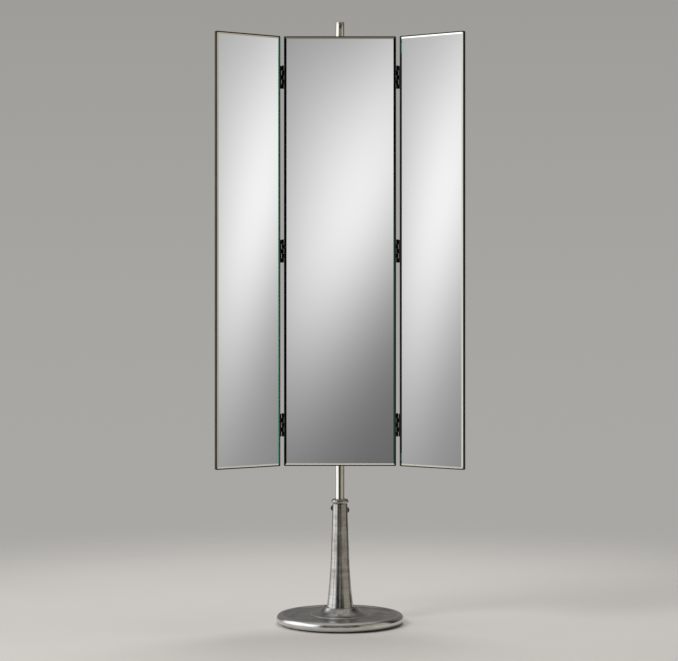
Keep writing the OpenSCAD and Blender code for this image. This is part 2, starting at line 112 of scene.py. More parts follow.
class Value:
    """One output socket. Arithmetic on it adds Math nodes to its tree."""

    def __init__(self, nodes, socket):
        self.nodes = nodes
        self.socket = socket

    def sibling(self, name):
        return Value(self.nodes, self.socket.node.outputs[name])

    def __add__(self, other):
        return self.nodes.math("ADD", self, other)

    __radd__ = __add__

    def __sub__(self, other):
        return self.nodes.math("SUBTRACT", self, other)

    def __rsub__(self, other):
        return self.nodes.math("SUBTRACT", other, self)

    def __mul__(self, other):
        return self.nodes.math("MULTIPLY", self, other)

    __rmul__ = __mul__

    def __truediv__(self, other):
        return self.nodes.math("DIVIDE", self, other)

    def __pow__(self, other):
        return self.nodes.math("POWER", self, other)

    def __neg__(self):
        return self * -1.0

    def __abs__(self):
        return self.nodes.math("ABSOLUTE", self)


class Nodes:
    """One node tree of any kind. Every node in it comes from node()."""

    def __init__(self, tree):
        self.tree = tree
        tree.nodes.clear()

    def node(self, kind, settings=None, sockets=None, out=0):
        """Adds a node, with its settings first and then what its sockets hold or link to."""
        made = self.tree.nodes.new(kind)
        for name, setting in (settings or {}).items():
            setattr(made, name, setting)
        for key, given in (sockets or {}).items():
            if isinstance(given, Value):
                self.tree.links.new(given.socket, made.inputs[key])
            else:
                made.inputs[key].default_value = given
        return Value(self, made.outputs[out]) if made.outputs else made

    def math(self, operation, *values):
        return self.node("ShaderNodeMath", {"operation": operation}, dict(enumerate(values)))

    def split(self, vector):
        parts = self.node("ShaderNodeSeparateXYZ", sockets={0: vector})
        return parts.sibling("X"), parts.sibling("Y"), parts.sibling("Z")

    def join(self, x, y, z):
        return self.node("ShaderNodeCombineXYZ", sockets={0: x, 1: y, 2: z})

    def smooth(self, value, start, end):
        """Rises softly from 0 at start to 1 at end, or falls where end lies below start."""
        return self.node(
            "ShaderNodeMapRange",
            {"interpolation_type": "SMOOTHSTEP"},
            {"Value": value, "From Min": start, "From Max": end},
        )

    def blend(self, share, first, second):
        """A colour that goes from first to second."""
        first, second = (c if isinstance(c, Value) else (*c, 1.0) for c in (first, second))
        return self.node(
            "ShaderNodeMix", {"data_type": "RGBA"}, {0: share, 6: first, 7: second}, out=2
        )

    def tint(self, colour, amount):
        """A colour made darker or lighter by a varying amount."""
        return self.node("ShaderNodeVectorMath", {"operation": "SCALE"}, {0: colour, "Scale": amount})


class Finish(Nodes):
    """A material with one Principled shader. Patterns are in metres of the object's own space."""

    def __init__(self, name):
        self.material = bpy.data.materials.new(name)
        self.material.use_nodes = True
        super().__init__(self.material.node_tree)
        self.place = self.node("ShaderNodeTexCoord", out="Object")

    def noise(self, scale, detail=3.0, roughness=0.5, vector=None, distortion=0.0):
        sockets = {"Vector": vector or self.place, "Scale": scale, "Detail": detail}
        sockets.update({"Roughness": roughness, "Distortion": distortion})
        return self.node("ShaderNodeTexNoise", {"noise_dimensions": "3D"}, sockets)

    def patches(self, scale, detail, roughness, start, end):
        """A mask of soft-edged patches of noise."""
        return self.smooth(self.noise(scale, detail, roughness), start, end)

    def lines(self, along, scale, detail=2.0):
        """Bands that change along one value only."""
        sockets = {"W": along, "Scale": scale, "Detail": detail}
        return self.node("ShaderNodeTexNoise", {"noise_dimensions": "1D"}, sockets)

    def streaks(self, x, y, z, detail=3.0, roughness=0.5):
        """Noise with a scale of its own along each of the object's axes."""
        multiply = {"operation": "MULTIPLY"}
        stretched = self.node("ShaderNodeVectorMath", multiply, {0: self.place, 1: (x, y, z)})
        return self.noise(1.0, detail, roughness, vector=stretched)

    def relief(self, height, depth, strength=1.0, below=None):
        """A bump of that height pattern, depth metres deep, on top of another one."""
        sockets = {"Height": height, "Distance": depth, "Strength": strength}
        if below:
            sockets["Normal"] = below
        return self.node("ShaderNodeBump", sockets=sockets)

    def shade(self, **sockets):
        """Ends the material: each name is a Principled socket with _ for a space."""
        given = {name.replace("_", " "): what for name, what in sockets.items()}
        colour = given.get("Base Color")
        if colour is not None and not isinstance(colour, Value):
            given["Base Color"] = (*colour, 1.0)
        surface = self.node("ShaderNodeBsdfPrincipled", sockets=given)
        self.node("ShaderNodeOutputMaterial", sockets={"Surface": surface})
        return self.material


# ---------------------------------------------------------------- finishes

def paint(name):
    """One of the add-on's colours, by its property's name."""
    return tuple(getattr(bpy.context.scene.mirror_colours, name))


def toned(colour, share):
    return tuple(share * part for part in colour)


def silvered_face():
    s = Finish("silvered_face")
    haze = s.patches(9.0, 4.0, 0.5, 0.45, 0.8)
    tone = s.blend(s.noise(2.2, 2.0), paint("silver"), (0.925, 0.93, 0.926))
    return s.shade(Base_Color=tone, Metallic=1.0, Roughness=0.006 + haze * 0.012)


def bevelled_glass(name, colour):
    """Cut and polished bevel: the silver seen through a longer way of greenish glass. Its dark copy's
    colour is painted shade.
    """
    s = Finish(name)
    wheel_marks = s.streaks(260, 260, 30, 2.0)
    tone = s.blend(s.noise(5.0, 2.0), colour, toned(colour, 0.86))
    return s.shade(Base_Color=tone, Metallic=1.0, Roughness=0.03 + wheel_marks * 0.05)


def painted_glow_bevel(name, colour):
    """A bevel seen along the glass, lit from inside by the green of its edge: a painted glow, that light
    painted into its colour.
    """
    s = Finish(name)
    wheel_marks = s.streaks(260, 260, 30, 2.0)
    tone = s.blend(s.noise(7.0, 2.0), colour, toned(colour, 0.8))
    return s.shade(Base_Color=tone, Metallic=0.0, Roughness=0.12 + wheel_marks * 0.1, Coat_Weight=0.4)


def ground_edge():
    s = Finish("ground_glass_edge")
    frost = s.noise(900.0, 3.0)
    tone = s.blend(s.noise(12.0), paint("glass_edge"), (0.03, 0.11, 0.085))
    frosted = s.relief(frost, 0.00008)
    return s.shade(Base_Color=tone, Metallic=0.0, Roughness=0.28 + frost * 0.25, Normal=frosted)


def backing_paint():
    s = Finish("mirror_backing_paint")
    brush = s.streaks(60, 60, 6, 3.0)
    tone = s.blend(brush, (0.20, 0.21, 0.22), (0.29, 0.30, 0.31))
    return s.shade(Base_Color=tone, Roughness=0.45 + brush * 0.2, Normal=s.relief(brush, 0.0001))


def cast_aluminium(name, turned):
    """Burnished casting. Its turning marks ring the plate, or run round the column."""
    s = Finish(name)
    x, y, z = s.split(s.place)
    radius = (x * x + y * y) ** 0.5
    along = radius if turned == "plate" else z + s.noise(5.0, 1.0) * 0.004
    marks = s.lines(along, 420.0, 3.0)
    broad_marks = s.lines(along, 95.0, 2.0)
    clouds = s.noise(16.0, 4.0, 0.6)
    upright = 14 if turned == "column" else 110
    smears = s.streaks(110, 110, upright, 4.0, 0.6)
    swept = s.noise(1.0, 4.0, 0.65, vector=s.join(radius * 62.0, x / radius * 1.7, y / radius * 1.7))
    worn = s.noise(60.0, 5.0, 0.65)
    pits = s.patches(300.0, 2.0, 0.5, 0.68, 0.76) * s.patches(22.0, 2.0, 0.5, 0.50, 0.62)
    bright, warm = paint("casting"), paint("casting_patina")
    tone = s.blend(s.smooth(clouds, 0.40, 0.72), bright, warm)
    sweep = s.smooth(swept, 0.32, 0.70) if turned == "plate" else broad_marks * 0.6
    tone = s.tint(tone, 0.62 + sweep * 0.50 + worn * 0.14)
    if turned == "plate":
        stand = bpy.context.scene.mirror_stand
        # The step and the rim bead are rubbed bright, and their lighter colour is also a painted highlight
        # that brightens their reflections.
        step_line = s.smooth(abs(radius - stand.step), 0.0034, 0.0014) * s.smooth(clouds, 0.68, 0.50)
        edge = high("base_plate").x
        rim_line = s.smooth(radius, edge - 2 * stand.bead, edge - stand.bead)
        rubbed_and_painted_highlight = s.math("MAXIMUM", step_line, rim_line * 0.7)
        tone = s.blend(rubbed_and_painted_highlight * 0.8, tone, (0.86, 0.86, 0.85))
    tone = s.blend(pits * 0.85, tone, (0.045, 0.038, 0.032))
    dull = s.smooth(smears, 0.35, 0.75)
    roughness = 0.10 + clouds * 0.08 + dull * 0.08 + marks * 0.05 + pits * 0.2
    hammered = s.relief(s.noise(34.0, 2.0, 0.4), 0.0016, 0.22)
    turned_marks = s.relief(marks + broad_marks * 1.5, 0.00005, 0.4, below=hammered)
    skin = s.relief(worn * 0.2 - pits, 0.0002, 0.5, below=turned_marks)
    return s.shade(Base_Color=tone, Metallic=1.0, Roughness=roughness, Normal=skin)


def polished_nickel():
    s = Finish("polished_nickel")
    drawn = s.streaks(1500, 1500, 12, 3.0, 0.6)
    handled = s.patches(14.0, 4.0, 0.6, 0.45, 0.75)
    tone = s.blend(handled, paint("nickel"), (0.66, 0.635, 0.57))
    return s.shade(
        Base_Color=tone,
        Metallic=1.0,
        Roughness=0.07 + handled * 0.09 + drawn * 0.05,
        Normal=s.relief(drawn, 0.00004, 0.4),
    )


def blackened_steel():
    s = Finish("blackened_steel")
    scale_marks = s.noise(26.0, 6.0, 0.66, distortion=0.3)
    grain = s.streaks(420, 420, 30, 3.0, 0.6)
    rubs = s.patches(70.0, 4.0, 0.7, 0.62, 0.80)
    tone = s.blend(s.smooth(scale_marks, 0.35, 0.7), paint("tray"), (0.078, 0.070, 0.062))
    tone = s.blend(rubs * 0.3, tone, (0.16, 0.148, 0.13))
    return s.shade(
        Base_Color=tone,
        Metallic=0.9,
        Roughness=0.38 + scale_marks * 0.20 + grain * 0.08 - rubs * 0.06,
        Normal=s.relief(grain + scale_marks, 0.00012, 0.25),
    )


def worn_edge_steel():
    s = Finish("worn_edge_steel")
    rubs = s.noise(45.0, 4.0, 0.65)
    tone = s.blend(s.smooth(rubs, 0.30, 0.75), (0.055, 0.050, 0.045), paint("worn_edge"))
    return s.shade(Base_Color=tone, Metallic=1.0, Roughness=0.44 + rubs * 0.2)


def black_oxide():
    s = Finish("black_oxide")
    oil = s.noise(85.0, 4.0, 0.6)
    rubs = s.patches(240.0, 3.0, 0.6, 0.62, 0.78)
    tone = s.blend(rubs * 0.45, paint("hinge"), (0.13, 0.125, 0.12))
    return s.shade(
        Base_Color=tone,
        Metallic=0.85,
        Roughness=0.26 + oil * 0.22,
        Normal=s.relief(oil + rubs * 0.5, 0.00008, 0.6),
    )


def cast_iron(name, colour, sand=1.0):
    """Sand-cast iron under a thin black finish; sand sets how rough its skin is."""
    s = Finish(name)
    grains = s.noise(520.0, 4.0, 0.6)
    lumps = s.noise(120.0, 3.0, 0.5)
    rubs = s.patches(75.0, 4.0, 0.7, 0.60, 0.76)
    tone = s.blend(lumps, colour, toned(colour, 1.6))
    tone = s.blend(rubs * 0.4, tone, (0.17, 0.16, 0.15))
    return s.shade(
        Base_Color=tone,
        Metallic=0.8,
        Roughness=0.42 + grains * 0.22 - rubs * 0.1,
        Normal=s.relief(grains + lumps * 1.5, 0.0003 * sand, 0.6),
    )


def turned_steel():
    s = Finish("darkened_steel")
    turned = s.streaks(1400, 240, 1400, 2.0)
    stain = s.noise(160.0, 3.0, 0.6)
    tone = s.blend(s.smooth(stain, 0.4, 0.7), paint("fastener"), (0.17, 0.155, 0.14))
    return s.shade(
        Base_Color=tone,
        Metallic=1.0,
        Roughness=0.24 + stain * 0.2 + turned * 0.1,
        Normal=s.relief(turned, 0.00006, 0.5),
    )


def turned_brass():
    s = Finish("turned_brass")
    z = s.split(s.place)[2]
    marks = s.lines(z, 900.0, 2.0)
    dull = s.noise(60.0, 4.0, 0.6)
    tone = s.blend(s.smooth(dull, 0.35, 0.7), paint("brass"), (0.36, 0.25, 0.12))
    return s.shade(
        Base_Color=tone,
        Metallic=1.0,
        Roughness=0.26 + dull * 0.22,
        Normal=s.relief(marks, 0.00006, 0.5),
    )


def wool_felt():
    s = Finish("wool_felt")
    fibres = s.noise(900.0, 5.0, 0.75, distortion=1.2)
    nap = s.noise(140.0, 3.0, 0.6)
    tone = s.blend(fibres, paint("felt"), (0.19, 0.18, 0.17))
    return s.shade(
        Base_Color=tone,
        Roughness=0.9 + nap * 0.1,
        Sheen_Weight=0.35,
        Normal=s.relief(fibres + nap, 0.0006, 0.8),
    )


def pressed_board():
    s = Finish("pressed_board")
    fibres = s.streaks(500, 500, 160, 5.0, 0.7)
    clouds = s.noise(18.0, 3.0)
    tone = s.blend(fibres, paint("board"), (0.17, 0.115, 0.07))
    tone = s.tint(tone, 0.8 + clouds * 0.4)
    return s.shade(Base_Color=tone, Roughness=0.62 + fibres * 0.2, Normal=s.relief(fibres, 0.0002, 0.6))


MAKERS = {
    "silver": silvered_face,
    "bevel_clear": lambda: bevelled_glass("bevel_clear", paint("bevel")),
    # Dark bevels: painted shade, the dark of the room that they reflect painted into their colour.
    "bevel_dark": lambda: bevelled_glass("bevel_dark", paint("bevel_dark")),
    # Teal bevel: a painted glow, the green light inside the glass painted into its colour.
    "bevel_teal": lambda: painted_glow_bevel("bevel_teal", paint("bevel_teal")),
    "edge": ground_edge,
    "backing": backing_paint,
    "base_casting": lambda: cast_aluminium("cast_aluminium_plate", "plate"),
    "column_casting": lambda: cast_aluminium("cast_aluminium_column", "column"),
    "nickel": polished_nickel,
    "tray": blackened_steel,
    "worn_edge": worn_edge_steel,
    "oxide": black_oxide,
    "bracket": lambda: cast_iron("black_cast_iron", paint("bracket")),
    "ballast": lambda: cast_iron("raw_cast_iron", (0.10, 0.09, 0.08), 2.0),
    "fastener": turned_steel,
    "brass": turned_brass,
    "felt": wool_felt,
    "board": pressed_board,
}
made_finishes = {}


def finish(name):
    """Each finish is made once, the first time that a piece asks for it."""
    if name not in made_finishes:
        made_finishes[name] = MAKERS[name]()
    return made_finishes[name]


# ---------------------------------------------------------------- mesh building

def new_piece(name, bm, *finishes, sharp=35):
    """Links a bmesh as an object at the origin, shaded smooth up to a sharp angle in degrees."""
    mesh = bpy.data.meshes.new(name)
    bm.to_mesh(mesh)
    bm.free()
    piece = bpy.data.objects.new(name, mesh)
    bpy.context.scene.collection.objects.link(piece)
    for each in finishes:
        mesh.materials.append(finish(each))
    smooth_shade(piece, sharp)
    return piece


def smooth_shade(piece, sharp=35):
    piece.data.shade_smooth()
    piece.data.set_sharp_from_angle(angle=radians(sharp))


def settle(piece):
    """Applies the piece's modifiers, so that it is a plain mesh."""
    graph = bpy.context.evaluated_depsgraph_get()
    evaluated = piece.evaluated_get(graph)
    mesh = bpy.data.meshes.new_from_object(evaluated, preserve_all_data_layers=True, depsgraph=graph)
    mesh.name = piece.name
    piece.modifiers.clear()
    piece.data = mesh
    return piece


def face_out(bm):
    bmesh.ops.remove_doubles(bm, verts=bm.verts, dist=SAME_POINT)
    bmesh.ops.recalc_face_normals(bm, faces=bm.faces)
    return bm


def put(bm, place):
    """Moves a bmesh into its place; a mirrored place turns its faces round again."""
    bmesh.ops.transform(bm, matrix=place, verts=bm.verts)
    if place.determinant() < 0:
        bmesh.ops.reverse_faces(bm, faces=bm.faces)
    return bm


def arc(centre, radius, start, end, steps):
    """Points on a circle from one angle to another, in degrees."""
    turns = [radians(start + (end - start) * i / steps) for i in range(steps + 1)]
    return [(centre[0] + radius * cos(a), centre[1] + radius * sin(a)) for a in turns]


def lathe(outline, segments, place=Matrix.Identity(4)):
    """A closed outline of (radius, height) points turned about the z axis."""
    bm = bmesh.new()
    rings = []
    for radius, height in outline:
        if radius < SAME_POINT:
            rings.append([bm.verts.new((0, 0, height))])
            continue
        turns = [2 * pi * i / segments for i in range(segments)]
        rings.append([bm.verts.new((radius * cos(a), radius * sin(a), height)) for a in turns])
    for ring, after in zip(rings, rings[1:] + rings[:1]):
        for i in range(segments):
            j = (i + 1) % segments
            corners = [ring[i % len(ring)], ring[j % len(ring)]]
            corners = list(dict.fromkeys(corners + [after[j % len(after)], after[i % len(after)]]))
            if len(corners) > 2:
                bm.faces.new(corners)
    face_out(bm)
    return put(bm, place)


def prism(outline, depth, place=Matrix.Identity(4)):
    """A flat outline in x and z, extruded from y = 0 to y = depth."""
    bm = bmesh.new()
    face = bm.faces.new([bm.verts.new((x, 0, z)) for x, z in outline])
    grown = bmesh.ops.extrude_face_region(bm, geom=[face])
    moved = [v for v in grown["geom"] if isinstance(v, bmesh.types.BMVert)]
    bmesh.ops.translate(bm, verts=moved, vec=(0, depth, 0))
    face_out(bm)
    return put(bm, place)


def standing(height):
    """Stands a prism's outline flat: its z becomes y, and its depth goes up from a height."""
    swapped = Matrix(((1, 0, 0, 0), (0, 0, 1, 0), (0, 1, 0, 0), (0, 0, 0, 1)))
    return Matrix.Translation((0, 0, height)) @ swapped


def bridge(bm, first, second):
    """Quads between two loops of the same count; returns each with its edge on the first loop."""
    made = []
    for i, corner in enumerate(first):
        j = (i + 1) % len(first)
        quad = bm.faces.new((corner, first[j], second[j], second[i]))
        made.append((quad, corner, first[j]))
    return made


def rod(radius, foot, top, segments):
    """A plain cylinder along z, used to join or cut other shapes."""
    return lathe([(0, foot), (radius, foot), (radius, top), (0, top)], segments)


def dome(radius, foot, rise, upright, angles):
    """The outline of a round head; upright is the share of its rise that is a straight wall."""
    outline = [(radius, foot), (radius, foot + rise * upright)]
    for angle in map(radians, angles):
        outline.append((radius * cos(angle), foot + rise * (upright + (1 - upright) * sin(angle))))
    return outline + [(0, foot + rise)]


def block(corner, size):
    """A box from its lowest corner, which later joins others or is bevelled."""
    x, y, z = corner
    w, d, h = size
    outline = [(x, z), (x + w, z), (x + w, z + h), (x, z + h)]
    return prism(outline, d, Matrix.Translation((0, y, 0)))


def round_bar(radius, start, end, segments=SCREW_SEGMENTS):
    """A plain cylinder along +y."""
    return put(rod(radius, start, end, segments), TO_BACK)


def scratch(bm):
    """A helper object for a boolean, which is removed afterwards."""
    mesh = bpy.data.meshes.new("scratch")
    bm.to_mesh(mesh)
    bm.free()
    helper = bpy.data.objects.new("scratch", mesh)
    bpy.context.scene.collection.objects.link(helper)
    return helper


def combine(piece, operation, *shapes):
    """Joins to, or cuts from, a piece the given bmeshes with exact booleans."""
    helpers = [scratch(bm) for bm in shapes]
    for helper in helpers:
        step = piece.modifiers.new(operation.lower(), "BOOLEAN")
        step.operation = operation
        step.solver = "EXACT"
        step.object = helper
    settle(piece)
    for helper in helpers:
        old = helper.data
        bpy.data.objects.remove(helper)
        bpy.data.meshes.remove(old)
    if not piece.data.polygons:
        raise RuntimeError(f"{piece.name} came out of its boolean with no faces")
    return piece


def node_shape(node):
    """A merged copy of a CAD node's mesh, for cutting the hole that the node fills."""
    bm = bmesh.new()
    bm.from_mesh(frame["nodes"][node].data)
    bmesh.ops.remove_doubles(bm, verts=bm.verts, dist=SAME_POINT)
    return bm


def soften(piece, width, segments=2, edge_finish=None, angle=40):
    """Rounds the piece's sharp edges, and may give the rounds a finish of their own."""
    step = piece.modifiers.new("soften", "BEVEL")
    step.width = width
    step.segments = segments
    step.limit_method = "ANGLE"
    step.angle_limit = radians(angle)
    step.harden_normals = False
    step.miter_outer = "MITER_ARC"
    if edge_finish is not None:
        step.material = edge_finish
    settle(piece)
    smooth_shade(piece)
    return piece


def seat(piece, body, slot, *nodes):
    """Fits a finished piece to the frame, after its size is checked against what it stands for."""
    slack = 0.0035
    corners = [Vector(v.co) for v in piece.data.vertices]
    for axis in range(3):
        found = min(c[axis] for c in corners), max(c[axis] for c in corners)
        wanted = min(low(n)[axis] for n in nodes), max(high(n)[axis] for n in nodes)
        if max(abs(a - b) for a, b in zip(found, wanted)) > slack:
            raise RuntimeError(f"{piece.name} is {found} on axis {axis}, and its nodes {wanted}")
    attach(piece, body)
    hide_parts(*nodes)
    return piece


def refinish(finish_name, *nodes):
    """Gives CAD nodes whose shape is right their finish."""
    for node in nodes:
        piece = frame["nodes"][node]
        for slot in piece.material_slots:
            slot.material = finish(finish_name)


# ---------------------------------------------------------------- sizes

def length(name, description, metres):
    return FloatProperty(name=name, description=description, default=metres, unit="LENGTH")


def turn_by(name, description, angle):
    """A turn, given in degrees."""
    return FloatProperty(name=name, description=description, default=radians(angle), unit="ROTATION")


def hue(name, description, linear):
    return FloatVectorProperty(
        name=name, description=description, default=linear, subtype="COLOR", size=3, min=0, max=1
    )


class MirrorGlassSizes(bpy.types.PropertyGroup):
    """Sizes of the mirror glass and of the tray that holds it."""

    glass: length("Glass", "Thickness of the glass", 0.005)
    bevel: length("Bevel", "Width of the bevel", 0.0045)
    bevel_depth: length("Bevel depth", "Depth of the bevel at the edge", 0.001)
    corner: length("Corner", "Radius of the glass's corners", 0.005)
    rim: length("Rim", "Width of the tray's rim", 0.0025)
    pocket: length("Pocket", "Depth of the tray's pocket for glass and board", 0.0068)
    tray_corner: length("Tray corner", "Radius of the tray's corners", 0.003)
    tray_round: length("Tray edge", "Rounding of the tray's edges", 0.0004)


class MirrorHingeSizes(bpy.types.PropertyGroup):
    """Sizes of the butt hinges."""

    swing: turn_by("Swing", "Angle of the side panels at rest", 36)
    barrel: length("Barrel", "Radius of the barrel", 0.003)
    pin: length("Pin", "Radius of the pin", 0.0015)
    leaf: length("Leaf", "Thickness of a leaf", 0.0016)
    width: length("Width", "Leaf width from the pin", 0.028)
    height: length("Height", "Height of a hinge", 0.064)
    play: length("Play", "Gap between knuckles", 0.0003)
    gap: length("Gap", "Gap beside the barrel", 0.0005)
    edge_out: length("Edge", "From the pin to the side panel's edge", 0.0125)
    rivet_in: length("Rivets", "From the pin to the rivets", 0.021)
    rivet_row: length("Rivet row", "Rivet spacing", 0.022)
    rivet_head: length("Rivet head", "Radius of a head", 0.0033)
    rivet_rise: length("Rivet rise", "Height of a head", 0.0018)
    rivet: length("Rivet", "Radius of a rivet", 0.00175)
    sheet: length("Sheet", "Thickness of the tray's back", 0.0012)


class MirrorBracketSizes(bpy.types.PropertyGroup):
    """Sizes of the rails, the clamps on the pole and their screws."""

    rail: length("Rail", "Thickness of a rail", 0.005)
    foot: length("Foot", "Thickness of a bracket's foot", 0.005)
    split: length("Split", "Gap between clamp and cap", 0.001)
    shoulder: length("Shoulder", "Thickness of the cap's ears", 0.008)
    wall: length("Wall", "Cap's wall around the pole", 0.008)
    fit: length("Fit", "Clearance on the pole", 0.00006)
    clamp_screw_out: length("Clamp screws", "From the pole to a clamp screw", 0.024)
    foot_screw_out: length("Foot screws", "From the pole to a foot screw", 0.040)
    foot_screw_up: length("Foot screw rows", "From a bracket's middle to its screws", 0.009)
    weld: length("Weld", "Radius of a weld bead", 0.0022)
    weld_length: length("Weld length", "Length of one weld", 0.026)
    weld_spacing: length("Weld spacing", "From one weld's middle to the next", 0.085)
    seed: IntProperty(name="Seed", description="Seed of the screws' random turn", default=7)


class MirrorStandSizes(bpy.types.PropertyGroup):
    """Sizes of the pole, the column and the base."""

    pole_wall: length("Pole wall", "Wall of the pole's tube", 0.002)
    bead: length("Bead", "Radius of the base's rim bead", 0.013)
    plate_rim: length("Plate", "Plate's height at the rim", 0.025)
    plate_rise: length("Rise", "Plate's rise to the flare", 0.002)
    step: length("Step", "Radius of the raised step", 0.082)
    step_round: length("Step bead", "Round of the step", 0.0025)
    hub_lip: length("Hub lip", "Width of the hub's lip", 0.0035)
    seat: length("Seat", "Depth of the column's seat", 0.006)
    seat_gap: length("Seat gap", "Gap round the column's foot", 0.0045)
    recess: length("Recess", "Radius of the ballast's recess", 0.1485)
    top: length("Column top", "Column's radius at its top", 0.0205)
    taper: length("Taper", "Even growth of its radius", 0.009)
    flare: length("Flare", "Growth of its radius in the foot", 0.0088)
    bore: length("Bore", "Radius of the column's bore", 0.015)
    boss: length("Boss", "Radius of the screw's boss", 0.0095)
    boss_out: length("Boss end", "From the pole's middle to the boss's end", 0.033)
    lip: length("Collar lip", "Collar's lip above the bush", 0.004)
    lip_gap: length("Lip gap", "Gap round the pole", 0.0003)
    uneven: length("Unevenness", "How uneven the hand-finished casting is", 0.00035)


class MirrorScrewSizes(bpy.types.PropertyGroup):
    """Sizes of the wing screw."""

    turn: turn_by("Turn", "How far the wings are turned", 9)
    shank: length("Shank", "Radius of the thread", 0.004)
    pitch: length("Pitch", "Pitch of the thread", 0.00125)
    hub: length("Hub", "Radius of the hub", 0.0075)
    hub_length: length("Hub length", "Length of the hub", 0.012)
    ear: length("Ear", "Radius of an ear", 0.0085)
    ear_out: length("Ear place", "From the hub's face to the ears", 0.003)
    arm_root: length("Arm root", "Half height of an arm at the hub", 0.004)
    arm_tip: length("Arm tip", "Half height of an arm at its ear", 0.006)
    span: length("Span", "Span of the wings", 0.053)
    thickness: length("Thickness", "Thickness of the ears", 0.006)


class MirrorColours(bpy.types.PropertyGroup):
    """Colours of the finishes, linear."""

    silver: hue("Silver", "Silvered glass", (0.905, 0.91, 0.908))
    bevel: hue("Bevel", "Outer bevels", (0.90, 0.91, 0.82))
    # Painted shade: the dark of the room that these bevels reflect, painted into their colour.
    bevel_dark: hue("Dark bevel", "Bevels that face the dark side of the room", (0.03, 0.12, 0.09))
    # Painted glow: the green light seen inside this bevel, painted into its colour.
    bevel_teal: hue("Teal bevel", "Inner bevel of the left mirror", (0.14, 0.70, 0.52))
    glass_edge: hue("Glass edge", "Ground edge of the glass", (0.07, 0.22, 0.17))
    casting: hue("Casting", "Burnished cast aluminium", (0.56, 0.558, 0.548))
    casting_patina: hue("Patina", "Warm patina of the casting", (0.38, 0.345, 0.295))
    nickel: hue("Nickel", "Polished nickel", (0.78, 0.765, 0.72))
    tray: hue("Tray", "Blackened steel", (0.052, 0.047, 0.043))
    worn_edge: hue("Worn edge", "Steel where the black has worn off", (0.125, 0.112, 0.098))
    hinge: hue("Hinges", "Black oxide", (0.024, 0.024, 0.026))
    bracket: hue("Brackets", "Black cast iron", (0.045, 0.042, 0.039))
    fastener: hue("Fasteners", "Darkened steel", (0.40, 0.395, 0.38))
    brass: hue("Brass", "Turned brass", (0.68, 0.50, 0.25))
    felt: hue("Felt", "Dark wool felt", (0.07, 0.066, 0.062))
    board: hue("Board", "Pressed board", (0.27, 0.19, 0.12))


# ---------------------------------------------------------------- mirror panels

def round_rectangle(width, height, radius, steps=6):
    """Corner-rounded outline in x and z, centred on x and standing on z = 0, anticlockwise."""
    x, top = width / 2 - radius, height - radius
    outline = arc((x, radius), radius, -90, 0, steps)
    outline += arc((x, top), radius, 0, 90, steps)
    outline += arc((-x, top), radius, 90, 180, steps)
    outline += arc((-x, radius), radius, 180, 270, steps)
    return outline


def inset_rectangle(width, height, radius, inset):
    smallest = 0.0004
    shrunk = max(radius - inset, smallest)
    outline = round_rectangle(width - 2 * inset, height - 2 * inset, shrunk)
    return [(x, z + inset) for x, z in outline]


def glass_shape(width, height, green_sides):
    """Bevelled glass with its face at y = 0. green_sides holds the x signs of its green bevels."""
    size = bpy.context.scene.mirror_glass
    bm = bmesh.new()

    def loop(inset, y):
        outline = inset_rectangle(width, height, size.corner, inset)
        return [bm.verts.new((x, y, z)) for x, z in outline]

    arris = 0.0004
    face = loop(size.bevel, 0)
    edge_top = loop(0, size.bevel_depth)
    edge_foot = loop(0, size.glass - arris)
    back = loop(arris, size.glass)
    bm.faces.new(face).material_index = 0
    bm.faces.new(back).material_index = 4
    for upper, lower, kind in ((face, edge_top, 1), (edge_top, edge_foot, 3), (edge_foot, back, 3)):
        for quad, start, end in bridge(bm, upper, lower):
            x_sign = 1 if quad.calc_center_median().x > 0 else -1
            upright = abs(start.co.z - end.co.z) > abs(start.co.x - end.co.x)
            green = kind == 1 and upright and x_sign in green_sides
            quad.material_index = 2 if green else kind
    bmesh.ops.recalc_face_normals(bm, faces=bm.faces)
    return bm


def tray_shape(width, height, depth):
    """Folded steel tray with its rim at y = 0 and a pocket for the glass and the board."""
    size = bpy.context.scene.mirror_glass
    bm = bmesh.new()
    outer = round_rectangle(width, height, size.tray_corner)
    pocket_corner = 0.001
    inner = inset_rectangle(width, height, size.rim + pocket_corner, size.rim)

    def loop(outline, y):
        return [bm.verts.new((x, y, z)) for x, z in outline]

    rim_out, rim_in = loop(outer, 0), loop(inner, 0)
    back, floor = loop(outer, depth), loop(inner, size.pocket)
    for first, second in ((rim_out, back), (rim_in, rim_out), (floor, rim_in)):
        bridge(bm, first, second)
    bm.faces.new(back)
    bm.faces.new(floor)
    bmesh.ops.recalc_face_normals(bm, faces=bm.faces)
    return bm


def centre_place():
    box_low = low("centre_tray")
    return Matrix.Translation((0, box_low.y, box_low.z))


def wing_width():
    """The side panel's width, from how far its tray reaches at the angle of rest."""
    hinge = bpy.context.scene.mirror_hinge
    depth = high("centre_tray").y - low("centre_tray").y
    reach = high("right_tray").x - low("right_tray").x
    return (reach - depth * sin(hinge.swing)) / cos(hinge.swing)


def wing_panel_place(side):
    hinge = bpy.context.scene.mirror_hinge
    depth = high("centre_tray").y - low("centre_tray").y
    face = hinge.barrel - hinge.leaf - depth
    across = hinge.edge_out + wing_width() / 2
    return wing_place(side) @ Matrix.Translation((across, face, low("centre_tray").z))


def panels():
    """Name, body, width, place in the frame and green bevels of each panel."""
    centre_width = high("centre_tray").x - low("centre_tray").x
    yield "centre", "centre_panel", centre_width, centre_place(), (-1, 1)
    for side in SIDES:
        yield side, side + "_wing", wing_width(), wing_panel_place(side), (-1,)


